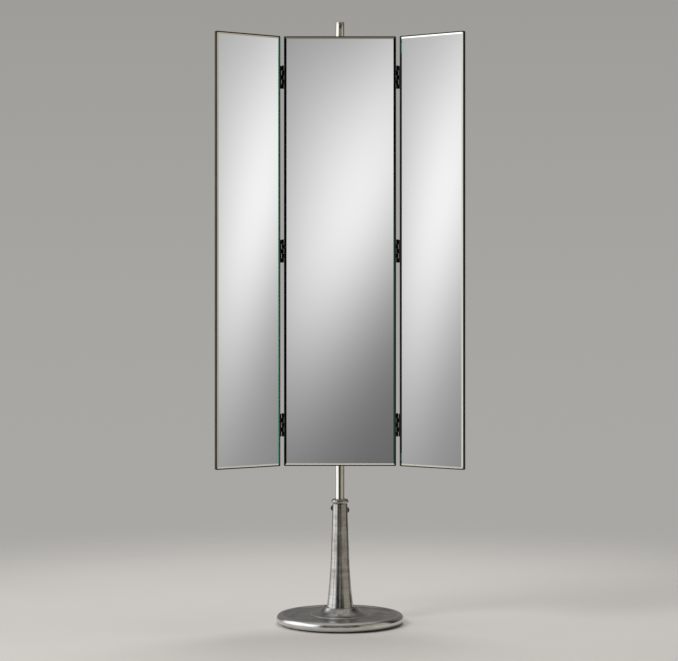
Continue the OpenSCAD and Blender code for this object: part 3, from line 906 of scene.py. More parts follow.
class MIRROR_OT_glass(bpy.types.Operator):
    """Builds the three bevelled mirrors"""

    bl_idname = "mirror.glass"
    bl_label = "Mirror glass"

    def execute(self, context):
        tray_height = high("centre_tray").z - low("centre_tray").z
        inset = low("centre_glass").z - low("centre_tray").z
        for name, body, width, place, green_sides in panels():
            bm = glass_shape(width - 2 * inset, tray_height - 2 * inset, green_sides)
            put(bm, place @ Matrix.Translation((0, 0, inset)))
            # Inner bevels carry painted light: painted shade on the centre and right mirrors, a painted
            # glow on the left one.
            inner = {"left": "bevel_teal", "right": "bevel_dark", "centre": "bevel_dark"}[name]
            finishes = ("silver", "bevel_clear", inner, "edge", "backing")
            piece = new_piece(name + "_mirror", bm, *finishes, sharp=4)
            seat(piece, body, "mirror_glass", name + "_glass")
        return {"FINISHED"}


class MIRROR_OT_trays(bpy.types.Operator):
    """Builds the three steel trays and finishes the boards inside them"""

    bl_idname = "mirror.trays"
    bl_label = "Steel trays"

    def execute(self, context):
        size = context.scene.mirror_glass
        box_low, box_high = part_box("centre_tray")
        for name, body, width, place, _ in panels():
            bm = put(tray_shape(width, box_high.z - box_low.z, box_high.y - box_low.y), place)
            piece = new_piece(name + "_steel_tray", bm, "tray", "worn_edge")
            combine(piece, "DIFFERENCE", node_shape(name + "_rivets"))
            soften(piece, size.tray_round, edge_finish=1)
            seat(piece, body, "tray_steel", name + "_tray")
            refinish("board", name + "_board")
        return {"FINISHED"}


# ---------------------------------------------------------------- hinges

KNUCKLES = 5


def leaf_piece(name, knuckles, bore, place):
    """A hinge leaf: a plate whose end is rolled into the given knuckles round the pin."""
    size = bpy.context.scene.mirror_hinge
    pitch = size.height / KNUCKLES
    root = size.barrel - size.leaf
    tall = size.height - size.play
    plate_start = size.barrel + size.gap
    plate = block((plate_start, root, -tall / 2), (size.width - plate_start, size.leaf, tall))
    piece = new_piece(name, plate, "oxide", "worn_edge")
    roll_end = degrees(asin(root / size.barrel))
    outline = arc((0, 0), size.barrel, 90, 360 + roll_end, 36)
    overlap = plate_start + 0.001
    outline += [(overlap, root), (overlap, size.barrel)]
    feet = [k * pitch + (size.play - size.height) / 2 for k in knuckles]
    combine(piece, "UNION", *[prism(outline, pitch - size.play, standing(foot)) for foot in feet])
    through = 2 * size.barrel
    cuts = [rod(bore, -size.height, size.height, 32)]
    for z in (-size.rivet_row, 0, size.rivet_row):
        cuts.append(put(round_bar(size.rivet, 0, through, 24), Matrix.Translation((size.rivet_in, 0, z))))
    combine(piece, "DIFFERENCE", *cuts)
    edge_round = 0.00022
    soften(piece, edge_round, edge_finish=1, angle=50)
    piece.data.transform(place)
    if place.determinant() < 0:
        piece.data.flip_normals()
    return piece


def pin_piece(name, place):
    size = bpy.context.scene.mirror_hinge
    foot, top = -size.height / 2, size.height / 2 + size.play / 2
    head, rise, chamfer = 0.0025, 0.0012, 0.0003
    outline = [(0, foot), (size.pin - chamfer, foot), (size.pin, foot + chamfer), (size.pin, top)]
    outline += dome(head, top, rise, 0.4, (25, 50, 70))
    return new_piece(name, lathe(outline, 40, place), "oxide")


class MIRROR_OT_hinges(bpy.types.Operator):
    """Builds six five-knuckle butt hinges, with the lowest pair the other way up"""

    bl_idname = "mirror.hinges"
    bl_label = "Hinges"

    def execute(self, context):
        size = context.scene.mirror_hinge
        for side in SIDES:
            for level in LEVELS:
                name = f"{side}_{level}"
                up = Matrix.Translation((0, 0, middle(name + "_wing_leaf").z))
                outer, inner = (0, 2, 4), (1, 3)
                centre_knuckles, wing_knuckles = (outer, inner) if level == "bottom" else (inner, outer)
                edge, wing = centre_edge_place(side) @ up, wing_place(side) @ up
                fixed = leaf_piece(name + "_fixed_leaf", centre_knuckles, size.pin, edge)
                seat(fixed, "centre_panel", "hinge_black", name + "_centre_leaf")
                moving = leaf_piece(name + "_moving_leaf", wing_knuckles, size.pin + RUNNING_FIT, wing)
                seat(moving, side + "_wing", "hinge_black", name + "_wing_leaf")
                pin = pin_piece(name + "_hinge_pin", edge)
                seat(pin, "centre_panel", "hinge_black", name + "_pin")
        return {"FINISHED"}


# ---------------------------------------------------------------- repeated pieces by node trees

def geometry_tree(name, inputs):
    """A geometry node tree with named inputs; returns its Nodes and each input as a Value."""
    tree = bpy.data.node_groups.new(name, "GeometryNodeTree")
    tree.interface.new_socket("Geometry", in_out="OUTPUT", socket_type="NodeSocketGeometry")
    tree.interface.new_socket("Geometry", in_out="INPUT", socket_type="NodeSocketGeometry")
    for label, kind in inputs.items():
        tree.interface.new_socket(label, in_out="INPUT", socket_type="NodeSocket" + kind)
    nodes = Nodes(tree)
    start = nodes.node("NodeGroupInput")
    return nodes, {label: start.sibling(label) for label in ("Geometry", *inputs)}


def close_tree(nodes, geometry, material):
    """Ends a tree in Realize Instances and Set Material."""
    real = nodes.node("GeometryNodeRealizeInstances", sockets={"Geometry": geometry})
    painted = nodes.node("GeometryNodeSetMaterial", sockets={"Geometry": real, "Material": material})
    nodes.node("NodeGroupOutput", sockets={0: painted})
    return nodes.tree


def grow(name, bm, tree, values, sharp=35):
    """Runs a node tree on a bmesh and keeps the result as a plain mesh."""
    piece = new_piece(name, bm)
    step = piece.modifiers.new("grow", "NODES")
    step.node_group = tree
    for item in tree.interface.items_tree:
        if item.item_type == "SOCKET" and item.in_out == "INPUT" and item.name in values:
            step[item.identifier] = values[item.name]
    settle(piece)
    if not piece.data.polygons:
        raise RuntimeError(f"{name} grew no faces")
    smooth_shade(piece, sharp)
    return piece


def fastener_tree():
    """Puts one fastener on every point, with its head along an axis and a random turn about it."""
    if "fasteners" in bpy.data.node_groups:
        return bpy.data.node_groups["fasteners"]
    inputs = {"Fastener": "Object", "Axis": "Vector", "Turn": "Float", "Seed": "Int", "Finish": "Material"}
    n, given = geometry_tree("fasteners", inputs)
    shape = n.node("GeometryNodeObjectInfo", sockets={"Object": given["Fastener"]}, out="Geometry")
    between = {2: 0.0, 3: given["Turn"], "Seed": given["Seed"]}
    turn = n.node("FunctionNodeRandomValue", {"data_type": "FLOAT"}, between, out=1)
    facing = n.node("FunctionNodeAlignRotationToVector", {"axis": "Z"}, {"Vector": given["Axis"]})
    spin = n.node("FunctionNodeAxisAngleToRotation", sockets={"Axis": (0, 0, 1), "Angle": turn})
    both = {"Rotation": facing, "Rotate By": spin}
    turned = n.node("FunctionNodeRotateRotation", {"rotation_space": "LOCAL"}, both)
    sockets = {"Points": given["Geometry"], "Instance": shape, "Rotation": turned}
    placed = n.node("GeometryNodeInstanceOnPoints", sockets=sockets)
    return close_tree(n, placed, given["Finish"])


def set_fasteners(name, master, points, axis, finish_name, turn=2 * pi):
    """One mesh with the master at every point. The master's head looks along its own z."""
    bm = bmesh.new()
    for point in points:
        bm.verts.new(point)
    values = {
        "Fastener": master,
        "Axis": tuple(axis),
        "Turn": turn,
        "Seed": bpy.context.scene.mirror_bracket.seed,
        "Finish": finish(finish_name),
    }
    return grow(name, bm, fastener_tree(), values)


def discard(piece):
    old = piece.data
    bpy.data.objects.remove(piece)
    bpy.data.meshes.remove(old)


def rivet_master():
    """A dome-headed rivet: its head stands on z = 0, and its shank goes down through both sheets."""
    size = bpy.context.scene.mirror_hinge
    depth = size.leaf + size.sheet
    outline = [(0, -depth), (size.rivet, -depth), (size.rivet, 0)]
    outline += dome(size.rivet_head, 0, size.rivet_rise, 0.15, (20, 40, 60, 78))
    return new_piece("rivet_master", lathe(outline, 24), "oxide")


class MIRROR_OT_rivets(bpy.types.Operator):
    """Sets the rivets that hold the hinges' leaves to the trays"""

    bl_idname = "mirror.rivets"
    bl_label = "Rivets"

    def execute(self, context):
        size = context.scene.mirror_hinge
        master = rivet_master()
        rows = (-size.rivet_row, 0, size.rivet_row)
        places = {"centre": [], "left": [], "right": []}
        for side in SIDES:
            for level in LEVELS:
                z = middle(f"{side}_{level}_wing_leaf").z
                for row in rows:
                    local = Vector((size.rivet_in, size.barrel, z + row))
                    places["centre"].append(centre_edge_place(side) @ local)
                    places[side].append(wing_place(side) @ local)
        back = Vector((0, 1, 0))
        axes = {"centre": back, **{side: wing_place(side).to_3x3() @ back for side in SIDES}}
        for name, points in places.items():
            body = "centre_panel" if name == "centre" else name + "_wing"
            piece = set_fasteners(name + "_hinge_rivets", master, points, axes[name], "oxide")
            seat(piece, body, "hinge_black", name + "_rivets")
        discard(master)
        return {"FINISHED"}


# ---------------------------------------------------------------- rails, brackets and their screws

def screw_master(name, head, rise, shank, depth, socket):
    """A socket-head screw: its head stands on z = 0 and has a hexagon recess."""
    chamfer = 0.0005
    outline = [(0, -depth), (shank - chamfer, -depth), (shank, -depth + chamfer), (shank, 0)]
    outline += [(head, 0), (head, rise - 2 * chamfer)]
    outline += arc((head - 2 * chamfer, rise - 2 * chamfer), 2 * chamfer, 0, 90, 4)[1:]
    outline += [(0, rise)]
    piece = new_piece(name, lathe(outline, SCREW_SEGMENTS), "fastener")
    recess_floor = 0.35 * rise
    combine(piece, "DIFFERENCE", rod(socket, recess_floor, 2 * rise, 6))
    return piece


def weld_tree():
    """A weld bead along each edge of its mesh: a thick line whose radius ripples."""
    inputs = {"Radius": "Float", "Ripples": "Float", "Ripple depth": "Float", "Finish": "Material"}
    n, given = geometry_tree("weld_beads", inputs)
    path = n.node("GeometryNodeMeshToCurve", sockets={"Mesh": given["Geometry"]})
    fine = n.node("GeometryNodeResampleCurve", {"mode": "COUNT"}, {"Curve": path, "Count": 60})
    along = n.node("GeometryNodeSplineParameter", out="Factor")
    ripple = n.math("SINE", along * given["Ripples"] * (2 * pi)) * given["Ripple depth"]
    ends = (1.0 - abs(along * 2.0 - 1.0) ** 8.0) ** 0.5
    thick = given["Radius"] * (ripple + 1.0) * (ends * 0.92 + 0.08)
    profile = n.node("GeometryNodeCurvePrimitiveCircle", sockets={"Resolution": 12, "Radius": 1.0})
    sockets = {"Curve": fine, "Profile Curve": profile, "Scale": thick, "Fill Caps": True}
    tube = n.node("GeometryNodeCurveToMesh", sockets=sockets)
    return close_tree(n, tube, given["Finish"])


RAIL_ROUND = 0.0008
CASTING_ROUND = 0.0010


class MIRROR_OT_brackets(bpy.types.Operator):
    """Builds the rails and split clamps that hold the centre panel on the pole"""

    bl_idname = "mirror.brackets"
    bl_label = "Rails and brackets"

    def execute(self, context):
        for level in BRACKETS:
            self.rail(level)
            self.bracket(level)
            self.cap(level)
        self.welds(context.scene.mirror_bracket)
        return {"FINISHED"}

    def rail(self, level):
        box_low, box_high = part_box(level + "_rail")
        piece = new_piece(level + "_flat_rail", block(box_low, box_high - box_low), "bracket", "worn_edge")
        combine(piece, "DIFFERENCE", node_shape("bracket_screws"))
        self.finished(piece, RAIL_ROUND, level + "_rail")

    def finished(self, piece, edge_round, node):
        soften(piece, edge_round, 3, edge_finish=1)
        seat(piece, "centre_panel", "bracket_iron", node)

    def pole_hole(self, z):
        reach = 0.05
        radius = high("pole_tube").x + bpy.context.scene.mirror_bracket.fit
        return rod(radius, z - reach, z + reach, POLE_SEGMENTS)

    def bracket(self, level):
        size = bpy.context.scene.mirror_bracket
        box_low, box_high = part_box(level + "_bracket")
        tall = box_high.z - box_low.z
        cap_low, cap_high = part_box(level + "_clamp_cap")
        foot = block(box_low, Vector((box_high.x - box_low.x, size.foot, tall)))
        inside = 0.002
        start = box_low.y + size.foot - inside
        clamp = block((cap_low.x, start, box_low.z), (cap_high.x - cap_low.x, box_high.y - start, tall))
        piece = new_piece(level + "_clamp_body", foot, "bracket", "worn_edge")
        combine(piece, "UNION", clamp)
        pole = self.pole_hole(middle(level + "_bracket").z)
        combine(piece, "DIFFERENCE", pole, node_shape("bracket_screws"), node_shape("clamp_screws"))
        self.finished(piece, CASTING_ROUND, level + "_bracket")

    def cap(self, level):
        size = bpy.context.scene.mirror_bracket
        box_low, box_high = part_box(level + "_clamp_cap")
        tall = box_high.z - box_low.z
        ears = block(box_low, Vector((box_high.x - box_low.x, size.shoulder, tall)))
        piece = new_piece(level + "_clamp_half", ears, "bracket", "worn_edge")
        radius = high("pole_tube").x + size.wall
        sunk_in_ears = 0.001
        start = box_low.y + sunk_in_ears
        half = [(x, y) for x, y in arc((0, 0), radius, 0, 180, 48) if y > start]
        edge = sqrt(radius * radius - start ** 2)
        outline = [(edge, start), *half, (-edge, start)]
        combine(piece, "UNION", prism(outline, tall, standing(box_low.z)))
        pole = self.pole_hole(middle(level + "_bracket").z)
        combine(piece, "DIFFERENCE", pole, node_shape("clamp_screws"))
        self.finished(piece, CASTING_ROUND, level + "_clamp_cap")

    def welds(self, size):
        """Short welds along both long edges of each rail, in the corner with the tray's back."""
        bm = bmesh.new()
        above_tray = 0.0003
        for level in BRACKETS:
            box_low, box_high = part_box(level + "_rail")
            for z in (box_low.z, box_high.z):
                for x in (-size.weld_spacing, 0.0, size.weld_spacing):
                    ends = [(x + s * size.weld_length / 2, box_low.y + above_tray, z) for s in (-1, 1)]
                    first, second = (bm.verts.new(end) for end in ends)
                    bm.edges.new((first, second))
        values = {"Radius": size.weld, "Ripples": 9.0, "Ripple depth": 0.10, "Finish": finish("bracket")}
        beads = grow("rail_welds", bm, weld_tree(), values, sharp=60)
        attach(beads, "centre_panel")


class MIRROR_OT_screws(bpy.types.Operator):
    """Sets the screws of the brackets and of their clamps"""

    bl_idname = "mirror.screws"
    bl_label = "Screws"

    def execute(self, context):
        size = context.scene.mirror_bracket
        back = Vector((0, 1, 0))
        foot_top = low("upper_bracket").y + size.foot
        rail_low = low("upper_rail").y
        levels = [middle(level + "_bracket").z for level in BRACKETS]
        head_rise = high("bracket_screws").y - foot_top
        head, shank, socket, deep = 0.00425, 0.0025, 0.0017, foot_top - rail_low
        foot_screw = screw_master("foot_screw_master", head, head_rise, shank, deep, socket)
        points = []
        for z in levels:
            for x in (-size.foot_screw_out, size.foot_screw_out):
                for up in (-size.foot_screw_up, size.foot_screw_up):
                    points.append((x, foot_top, z + up))
        piece = set_fasteners("foot_screws", foot_screw, points, back, "fastener")
        seat(piece, "centre_panel", "fastener_steel", "bracket_screws")
        cap_face = low("upper_clamp_cap").y + size.shoulder
        clamp_rise = high("clamp_screws").y - cap_face
        head, shank, socket, deep = 0.0045, 0.003, 0.0022, cap_face - low("clamp_screws").y
        clamp_screw = screw_master("clamp_screw_master", head, clamp_rise, shank, deep, socket)
        points = [(x, cap_face, z) for z in levels for x in (-size.clamp_screw_out, size.clamp_screw_out)]
        piece = set_fasteners("cap_screws", clamp_screw, points, back, "fastener")
        seat(piece, "centre_panel", "fastener_steel", "clamp_screws")
        for master in (foot_screw, clamp_screw):
            discard(master)
        return {"FINISHED"}


# ---------------------------------------------------------------- pole

class MIRROR_OT_pole(bpy.types.Operator):
    """Builds the polished pole, its round end and the lock collar"""

    bl_idname = "mirror.pole"
    bl_label = "Pole"

    def execute(self, context):
        size = context.scene.mirror_stand
        self.tube(size)
        self.end(size)
        self.collar()
        refinish("fastener", "lock_screw", "pole_foot_pin")
        refinish("brass", "pole_foot")
        return {"FINISHED"}

    def tube(self, size):
        foot, top = low("pole_tube").z, high("pole_tube").z
        radius, chamfer = high("pole_tube").x, 0.0003
        inner = radius - size.pole_wall
        rows = 30
        outline = [(inner, top), (inner, foot), (radius - chamfer, foot)]
        for i in range(rows + 1):
            outline.append((radius, foot + chamfer + (top - foot - 2 * chamfer) * i / rows))
        outline.append((radius - chamfer, top))
        piece = new_piece("polished_pole", lathe(outline, POLE_SEGMENTS), "nickel")
        combine(piece, "DIFFERENCE", node_shape("pole_foot_pin"))
        smooth_shade(piece)
        seat(piece, "pole", "pole_nickel", "pole_tube")

    def end(self, size):
        box_low, box_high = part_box("pole_cap")
        radius, top = box_high.x, box_high.z
        joint = high("pole_tube").z
        spigot = radius - size.pole_wall
        crown, shoulder, line, tip_drop = 0.0048, 0.0005, 0.0003, 0.00008
        outline = [(0, box_low.z), (spigot - shoulder, box_low.z), (spigot, box_low.z + shoulder)]
        outline += [(spigot, joint), (radius - line, joint), (radius, joint + line)]
        outline += arc((radius - crown, top - crown - shoulder), crown, 0, 75, 8)
        outline += [(radius * 0.35, top - tip_drop), (0, top)]
        piece = new_piece("pole_end", lathe(outline, POLE_SEGMENTS), "nickel", sharp=50)
        seat(piece, "pole", "pole_nickel", "pole_cap")

    def collar(self):
        box_low, box_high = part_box("lock_collar")
        inner, outer, chamfer = high("pole_tube").x, box_high.x, 0.0012
        foot, top = box_low.z, box_high.z
        outline = [(inner, top), (inner, foot), (outer - chamfer, foot), (outer, foot + chamfer)]
        groove, groove_down = 0.0006, 0.0045
        mid = (foot + top) / 2 - groove_down
        outline += [(outer, mid - groove), (outer - groove, mid), (outer, mid + groove)]
        outline += [(outer, top - chamfer), (outer - chamfer, top)]
        piece = new_piece("lock_ring", lathe(outline, POLE_SEGMENTS), "bracket")
        combine(piece, "DIFFERENCE", node_shape("lock_screw"))
        smooth_shade(piece)
        seat(piece, "pole", "bracket_iron", "lock_collar")


# ---------------------------------------------------------------- column and base

def column_tree():
    """The column's skin: its radius grows evenly down the column and flares at the foot."""
    inputs = dict.fromkeys(("Height", "Foot", "Top radius", "Taper", "Flare"), "Float")
    inputs.update({"Segments": "Int", "Rows": "Int", "Finish": "Material"})
    n, given = geometry_tree("column_skin", inputs)
    sockets = {"Size X": 1.0, "Size Y": 1.0}
    sockets.update({"Vertices X": given["Segments"] + 1.0, "Vertices Y": given["Rows"] + 1.0})
    sheet = n.node("GeometryNodeMeshGrid", sockets=sockets, out="Mesh")
    across, up, _ = n.split(n.node("GeometryNodeInputPosition"))
    turn = across * (2 * pi)
    down = 0.5 - up
    radius = given["Top radius"] + given["Taper"] * down + given["Flare"] * down ** 4.0
    height = given["Foot"] + given["Height"] * (1.0 - down)
    place = n.join(radius * n.math("COSINE", turn), radius * n.math("SINE", turn), height)
    rolled = n.node("GeometryNodeSetPosition", sockets={"Geometry": sheet, "Position": place})
    closed = n.node("GeometryNodeMergeByDistance", sockets={"Geometry": rolled, "Distance": SAME_POINT})
    return close_tree(n, closed, given["Finish"])


def ripple(point, amount, scale=23.0):
    """How far a hand-finished surface lies off its true shape at a point."""
    return amount * noise.noise(Vector(point) * scale)


class MIRROR_OT_column(bpy.types.Operator):
    """Builds the cast trumpet column with its boss, and the collar bead on it"""

    bl_idname = "mirror.column"
    bl_label = "Column"

    def execute(self, context):
        size = context.scene.mirror_stand
        self.column(size)
        self.collar(size)
        refinish("fastener", "column_screws")
        refinish("brass", "guide_bush", "pressure_pad")
        return {"FINISHED"}

    def column(self, size):
        foot, top = low("column").z, high("column").z
        values = {
            "Height": top - foot,
            "Foot": foot,
            "Top radius": size.top,
            "Taper": size.taper,
            "Flare": size.flare,
            "Segments": COLUMN_SEGMENTS,
            "Rows": 120,
            "Finish": finish("column_casting"),
        }
        piece = grow("cast_column", bmesh.new(), column_tree(), values)
        self.hand_finish(piece, size.uneven)
        boss_out, screw_z = size.boss_out, middle("wing_screw").z
        fillet, chamfer, past, saddle = 0.0035, 0.001, 0.01, 0.0022
        root = size.top - saddle
        outline = [(0, 0), (size.boss + fillet, 0), (size.boss + fillet, root)]
        for share in (0.25, 0.5, 0.75, 1.0):
            outline.append((size.boss + fillet * (1 - share) ** 2, root + share * 2 * fillet))
        outline += [(size.boss, boss_out - chamfer), (size.boss - chamfer, boss_out), (0, boss_out)]
        at_screw = Matrix.Translation((0, 0, screw_z))
        combine(piece, "UNION", lathe(outline, 64, at_screw @ TO_BACK))
        shank = bpy.context.scene.mirror_screw.shank
        bore = rod(size.bore, foot - past, top + past, POLE_SEGMENTS)
        hole = put(round_bar(shank + RUNNING_FIT, 0, boss_out + past), at_screw)
        combine(piece, "DIFFERENCE", bore, hole, node_shape("column_screws"))
        piece.data.materials.clear()
        piece.data.materials.append(finish("column_casting"))
        smooth_shade(piece)
        seat(piece, "stand", "cast_metal", "column")

    def hand_finish(self, piece, amount):
        """Makes the skin slightly uneven, away from its two ends, and closes the ends."""
        foot, top = low("column").z, high("column").z
        bm = bmesh.new()
        bm.from_mesh(piece.data)
        fade = 0.02
        for vert in bm.verts:
            near_end = min(vert.co.z - foot, top - vert.co.z) / fade
            out = Vector((vert.co.x, vert.co.y, 0)).normalized()
            vert.co += out * ripple(vert.co, amount) * min(1.0, near_end)
        rims = [edge for edge in bm.edges if edge.is_boundary]
        bmesh.ops.holes_fill(bm, edges=rims, sides=0)
        bmesh.ops.recalc_face_normals(bm, faces=bm.faces)
        bm.to_mesh(piece.data)
        bm.free()

    def collar(self, size):
        box_low, box_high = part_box("column_collar")
        foot, top = box_low.z, box_high.z
        round_r = (top - foot) / 2
        ring = box_high.x - round_r
        hole = high("pole_tube").x + size.lip_gap
        outline = [(size.bore, top - size.lip), (size.bore, foot), (ring, foot)]
        outline += arc((ring, foot + round_r), round_r, -90, 90, 24)[1:]
        lead_in = 0.0012
        outline += [(hole + lead_in, top), (hole + lead_in / 4, top - lead_in / 3), (hole, top - lead_in)]
        outline += [(hole, top - size.lip)]
        bm = lathe(outline, COLUMN_SEGMENTS)
        for vert in bm.verts:
            flat = Vector((vert.co.x, vert.co.y, 0))
            if flat.length > ring:
                vert.co += flat.normalized() * ripple(vert.co, size.uneven * 0.3, 40.0)
        piece = new_piece("collar_bead", bm, "column_casting")
        seat(piece, "stand", "cast_metal", "column_collar")


# Height and distance apart of the rings that the lathe left on the plate
TURNED_RINGS = ((0.00004, 0.0135), (0.00002, 0.0052))


class MIRROR_OT_base(bpy.types.Operator):
    """Builds the cast base, its felt, and finishes the ballast inside it"""

    bl_idname = "mirror.base"
    bl_label = "Base"

    def execute(self, context):
        size = context.scene.mirror_stand
        self.casting(size)
        self.felt()
        refinish("ballast", "ballast_disc")
        refinish("fastener", "ballast_screws")
        return {"FINISHED"}

    def plate_height(self, radius, size, ring):
        """The plate rises slowly to the step, and carries a few shallow turned rings."""
        share = (ring - radius) / (ring - size.step)
        rings = sum(rise * cos(radius * 2 * pi / apart) for rise, apart in TURNED_RINGS)
        return size.plate_rim + size.plate_rise * share + rings

    def casting(self, size):
        box_low, box_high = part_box("base_plate")
        foot, hub_top = box_low.z, box_high.z
        ring = box_high.x - size.bead
        bead_z = foot + size.bead
        column_foot = high("column").x
        lip_in = column_foot + size.seat_gap
        lip_out = lip_in + size.hub_lip
        cove, cove_drop, step_rise, past_step = 0.003, 0.0007, 0.0014, 0.0008
        bead_blend, lip_round, skin, hub_reach = 0.0012, 0.0012, 0.0005, 0.05
        plate_step = size.plate_rim + size.plate_rise
        recess_top = high("ballast_disc").z
        outline = [(0, recess_top), (size.recess, recess_top), (size.recess, foot), (ring, foot)]
        meet = degrees(asin((size.plate_rim + bead_blend - bead_z) / size.bead))
        outline += arc((ring, bead_z), size.bead, -90, 180 - meet, 40)[1:]
        inner_edge = outline[-1][0]
        outline.append((inner_edge - cove * 0.4, outline[-1][1] - cove_drop))
        step_out = size.step + size.step_round
        rows = 72
        start = inner_edge - cove
        for i in range(rows + 1):
            radius = start + (step_out + past_step - start) * i / rows
            outline.append((radius, self.plate_height(radius, size, ring)))
        centre_z = plate_step + step_rise - size.step_round
        outline += arc((size.step, centre_z), size.step_round, 27, 150, 10)
        for i in range(1, 41):
            share = 1 - i / 40
            rise = (hub_top - plate_step) * (1 - share) ** 2
            radius = lip_out + (size.step - lip_out) * share
            if share < 0.93 and radius > lip_out + lip_round / 2:
                outline.append((radius, plate_step + rise))
        outline += [(lip_out, hub_top - 2 * lip_round)]
        outline += arc((lip_out - lip_round, hub_top - lip_round), lip_round, 0, 90, 5)[1:]
        outline += arc((lip_in + lip_round, hub_top - lip_round), lip_round, 90, 180, 5)
        outline += [(lip_in, hub_top - size.seat), (0, hub_top - size.seat)]
        bm = lathe(outline, BASE_SEGMENTS)
        for vert in bm.verts:
            flat = Vector((vert.co.x, vert.co.y, 0))
            on_top = vert.co.z > foot + 4 * skin
            if flat.length > max(lip_out - skin, hub_reach) and on_top:
                off = ripple(vert.co, size.uneven, 12.0) + ripple(vert.co, size.uneven * 0.3, 45.0)
                vert.co += (flat.normalized() if flat.length > ring else Vector((0, 0, 1))) * off
        piece = new_piece("cast_base", bm, "base_casting")
        combine(piece, "DIFFERENCE", node_shape("column_screws"), node_shape("ballast_screws"))
        smooth_shade(piece)
        seat(piece, "stand", "cast_metal", "base_plate")

    def felt(self):
        box_low, box_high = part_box("floor_pad")
        radius, thick = box_high.x, box_high.z
        edge = 0.0006
        outline = [(0, 0), (radius - edge, 0), (radius, edge), (radius, thick - edge)]
        outline += [(radius - edge, thick), (0, thick)]
        piece = new_piece("felt_disc", lathe(outline, COLUMN_SEGMENTS), "felt")
        seat(piece, "stand", "felt", "floor_pad")


# ---------------------------------------------------------------- wing screw

class MIRROR_OT_wing_screw(bpy.types.Operator):
    """Builds the wing screw that clamps the pole in the column"""

    bl_idname = "mirror.wing_screw"
    bl_label = "Wing screw"

    def execute(self, context):
        size = context.scene.mirror_screw
        tip, back = low("wing_screw").y, high("wing_screw").y
        hub_start = back - size.hub_length
        piece = new_piece("clamp_wing_screw", self.ears(size, hub_start), "bracket", "worn_edge")
        crown, chamfer, sunk, edge_round = 0.002, 0.0008, 0.001, 0.0012
        small_end = size.hub * 0.92
        outline = [(0, hub_start), (size.hub - chamfer, hub_start), (size.hub, hub_start + chamfer)]
        outline += [(small_end, back - crown)]
        for turn in (0.5, 1.0, 1.5):
            outline.append((small_end - crown * (1 - cos(turn)), back - crown * (1 - sin(turn))))
        outline += [(0, back)]
        combine(piece, "UNION", lathe(outline, SCREW_SEGMENTS, TO_BACK))
        soften(piece, edge_round, 3, edge_finish=1, angle=38)
        combine(piece, "UNION", self.thread(size, tip, hub_start + sunk))
        smooth_shade(piece, 30)
        place = Matrix.Translation((0, 0, middle("wing_screw").z)) @ Matrix.Rotation(size.turn, 4, "Y")
        piece.data.transform(place)
        seat(piece, "wing_screw", "bracket_iron", "wing_screw")
        return {"FINISHED"}

    def ears(self, size, hub_start):
        """Both ears as one flat shape that faces backwards: round lobes on arms that widen outwards."""
        reach = size.span / 2 - size.ear
        meet = 180 - degrees(asin(size.arm_tip / size.ear))
        right = arc((reach, 0), size.ear, -meet, meet, 40)
        outline = [(0, -size.arm_root), *right, (0, size.arm_root)]
        outline += [(-x, z) for x, z in reversed(right)]
        return prism(outline, size.thickness, Matrix.Translation((0, hub_start + size.ear_out, 0)))

    def thread(self, size, start, end):
        """The shank with its thread as a ridge that winds along +y."""
        segments, per_turn = 32, 8
        depth = 0.00035
        count = int((end - start) / size.pitch * per_turn)
        bm = bmesh.new()
        rings = []
        for k in range(count + 1):
            y = start + (end - start) * k / count
            ring = []
            for i in range(segments):
                turn = 2 * pi * i / segments
                phase = (y / size.pitch + i / segments) % 1.0
                radius = size.shank - depth * abs(2 * phase - 1)
                if k in (0, count):
                    radius = size.shank - 2 * depth
                ring.append(bm.verts.new((radius * cos(turn), y, -radius * sin(turn))))
            rings.append(ring)
        for ring, after in zip(rings, rings[1:]):
            bridge(bm, ring, after)
        bm.faces.new(rings[0])
        bm.faces.new(rings[-1])
        bmesh.ops.recalc_face_normals(bm, faces=bm.faces)
        return bm


# ---------------------------------------------------------------- stage

class MirrorStageSizes(bpy.types.PropertyGroup):
    """Places and strengths of the camera, the floor and the lights."""

    distance: length("Distance", "Camera's distance", 5.88)
    eye: length("Eye", "Camera's height", 0.94)
    lens: FloatProperty(name="Lens", description="Focal length in millimetres", default=111.5)
    drop: FloatProperty(name="Drop", description="Vertical shift of the lens", default=-0.0627)
    side: FloatProperty(name="Side", description="Sideways shift of the lens", default=-0.0015)
    floor: length("Floor", "Radius where the floor has faded out", 2.8)
    floor_colour: hue("Floor", "Pale studio floor", (0.62, 0.605, 0.585))
    backdrop: hue("Backdrop", "What the camera sees behind the floor", (0.40, 0.39, 0.375))
    key: FloatProperty(name="Key", description="Power of the key light in watts", default=55.0)
    top: FloatProperty(name="Top", description="Power of the overhead light in watts", default=60.0)


def studio_floor(stage):
    """A pale floor that fades into the backdrop with distance."""
    bm = bmesh.new()
    bmesh.ops.create_circle(bm, cap_ends=True, segments=128, radius=stage.floor)
    s = Finish("studio_floor")
    x, y, _ = s.split(s.place)
    away = (x * x + y * y) ** 0.5
    trowel = s.noise(2.4, 4.0, 0.6)
    tone = s.blend(trowel, tuple(stage.floor_colour), toned(stage.floor_colour, 0.94))
    plain = s.node("ShaderNodeBsdfPrincipled", sockets={"Base Color": tone, "Roughness": 0.75})
    clear = s.node("ShaderNodeBsdfTransparent")
    fade = s.smooth(away, stage.floor * 0.40, stage.floor * 0.97)
    mixed = s.node("ShaderNodeMixShader", sockets={0: fade, 1: plain, 2: clear})
    s.node("ShaderNodeOutputMaterial", sockets={"Surface": mixed})
    made_finishes["floor"] = s.material
    floor = new_piece("studio_floor", bm, "floor")


